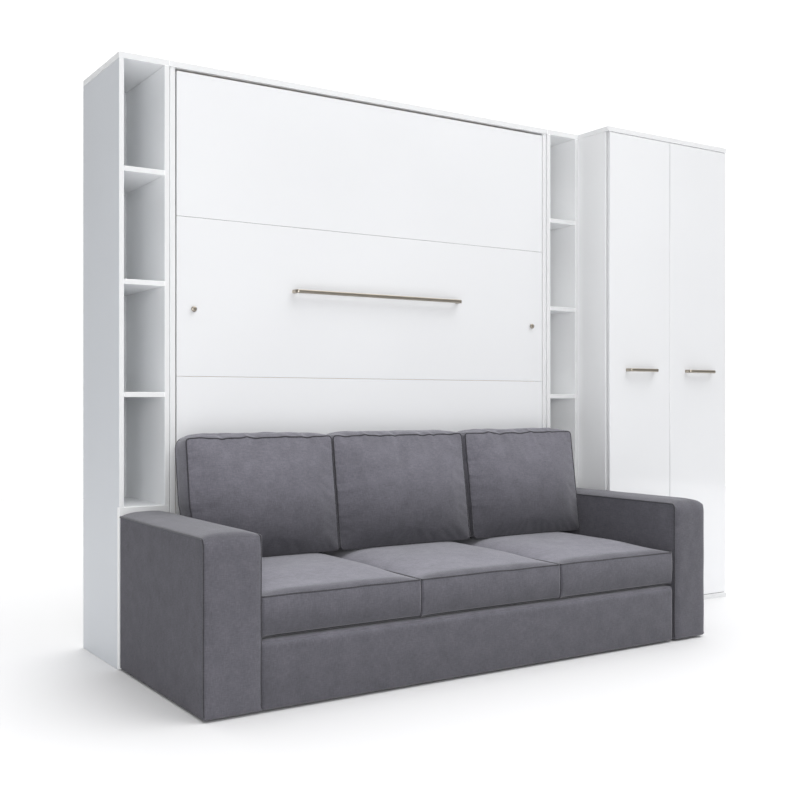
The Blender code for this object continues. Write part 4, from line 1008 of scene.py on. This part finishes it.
class WALLBED_OT_cushions(bpy.types.Operator):
    """Makes the three seat cushions and the three loose back cushions with their piping."""
    bl_idname = "wallbed.cushions"
    bl_label = "Make cushions"

    def execute(self, context):
        look = context.scene.wall_bed_sofa
        for number, name in enumerate(SEAT_NAMES):
            seat_cushion(f"seat_pad_{name}", f"seat_cushion_{name}", "cabinet", 20 + 5 * number, look)
            node = f"back_cushion_{name}"
            back_cushion(f"back_pad_{name}", node, node, 40 + 7 * number, look.overhang if number == 0 else 0, look)
        return {"FINISHED"}


class WALLBED_OT_mattress(bpy.types.Operator):
    """Makes the quilted mattress."""
    bl_idname = "wallbed.mattress"
    bl_label = "Make mattress"

    def execute(self, context):
        quilted_mattress()
        return {"FINISHED"}


class WALLBED_OT_stage(bpy.types.Operator):
    """Sets the pale floor, the soft studio light and the camera."""
    bl_idname = "wallbed.stage"
    bl_label = "Set stage"

    def execute(self, context):
        scene = context.scene
        look = scene.wall_bed_stage
        reach = 7.0
        mesh = bpy.data.meshes.new("floor")
        corners = [(-reach, -reach, 0), (reach, -reach, 0), (reach, reach, 0), (-reach, reach, 0)]
        mesh.from_pydata(corners, [], [(0, 1, 2, 3)])
        material, _, shader = new_material("pale_floor", Roughness=0.7)
        shader.inputs["Base Color"].default_value = srgb("e1e1e2")
        mesh.materials.append(material)
        floor = bpy.data.objects.new("floor", mesh)
        scene.collection.objects.link(floor)
        scene.world = soft_room(look)
        # Each panel's name, place, the point that it faces, its width and height in metres, and its power
        panels = (("ceiling_panel", (1.3, -2.1, 4.6), (0.8, -1.0, 0.0), (4.0, 3.4), look.overhead),
                  ("front_panel", (-3.7, -5.7, 1.7), (-0.2, 0.0, 1.1), (3.2, 2.4), look.key))
        for name, place, target, size, power in panels:
            light = bpy.data.lights.new(name, "AREA")
            light.shape = "RECTANGLE"
            light.size, light.size_y = size
            light.energy = power
            lamp = bpy.data.objects.new(name, light)
            lamp.location = place
            way = np.array(target) - np.array(place)
            lamp.rotation_euler = (math.atan2(math.hypot(way[0], way[1]), -way[2]), 0, math.atan2(-way[0], way[1]))
            scene.collection.objects.link(lamp)
        data = bpy.data.cameras.new("camera")
        data.sensor_width = 36
        data.lens = look.lens
        data.shift_y = look.rise
        data.clip_end = 100
        camera = bpy.data.objects.new("camera", data)
        camera.location = look.place
        camera.rotation_euler = (math.pi / 2, 0, -look.turn)
        scene.collection.objects.link(camera)
        scene.camera = camera
        scene.view_settings.view_transform = "Standard"
        return {"FINISHED"}


class WALLBED_PT_panel(bpy.types.Panel):
    """Lists the steps and the settings of the wall bed."""
    bl_idname = "WALLBED_PT_panel"
    bl_label = "Wall Bed"
    bl_space_type = "VIEW_3D"
    bl_region_type = "UI"
    bl_category = "Wall Bed"

    def draw(self, context):
        for operator in OPERATORS:
            self.layout.operator(operator.bl_idname)
        for pointer, group in GROUPS.items():
            for name in group.__annotations__:
                self.layout.prop(getattr(context.scene, pointer), name)


OPERATORS = (WALLBED_OT_cabinet_finishes, WALLBED_OT_fittings, WALLBED_OT_sofa_frame, WALLBED_OT_cushions,
             WALLBED_OT_mattress, WALLBED_OT_stage)
GROUPS = {"wall_bed_sofa": WallBedSofaSettings, "wall_bed_fittings": WallBedFittingSettings,
          "wall_bed_finishes": WallBedFinishSettings, "wall_bed_stage": WallBedStageSettings}


def register():
    """Registers the settings, the operators and the panel."""
    for kind in (*GROUPS.values(), *OPERATORS, WALLBED_PT_panel):
        bpy.utils.register_class(kind)
    for name, group in GROUPS.items():
        setattr(bpy.types.Scene, name, PointerProperty(type=group))


def unregister():
    """Takes the panel, the operators and the settings away again."""
    for name in GROUPS:
        delattr(bpy.types.Scene, name)
    for kind in (WALLBED_PT_panel, *reversed(OPERATORS), *GROUPS.values()):
        bpy.utils.unregister_class(kind)


def main():
    for thing in list(bpy.data.objects):
        if thing.type in {"CAMERA", "LIGHT"}:
            bpy.data.objects.remove(thing)
    register()
    for operator in OPERATORS:
        group, name = operator.bl_idname.split(".")
        getattr(getattr(bpy.ops, group), name)()


if __name__ == "__main__":
    main()
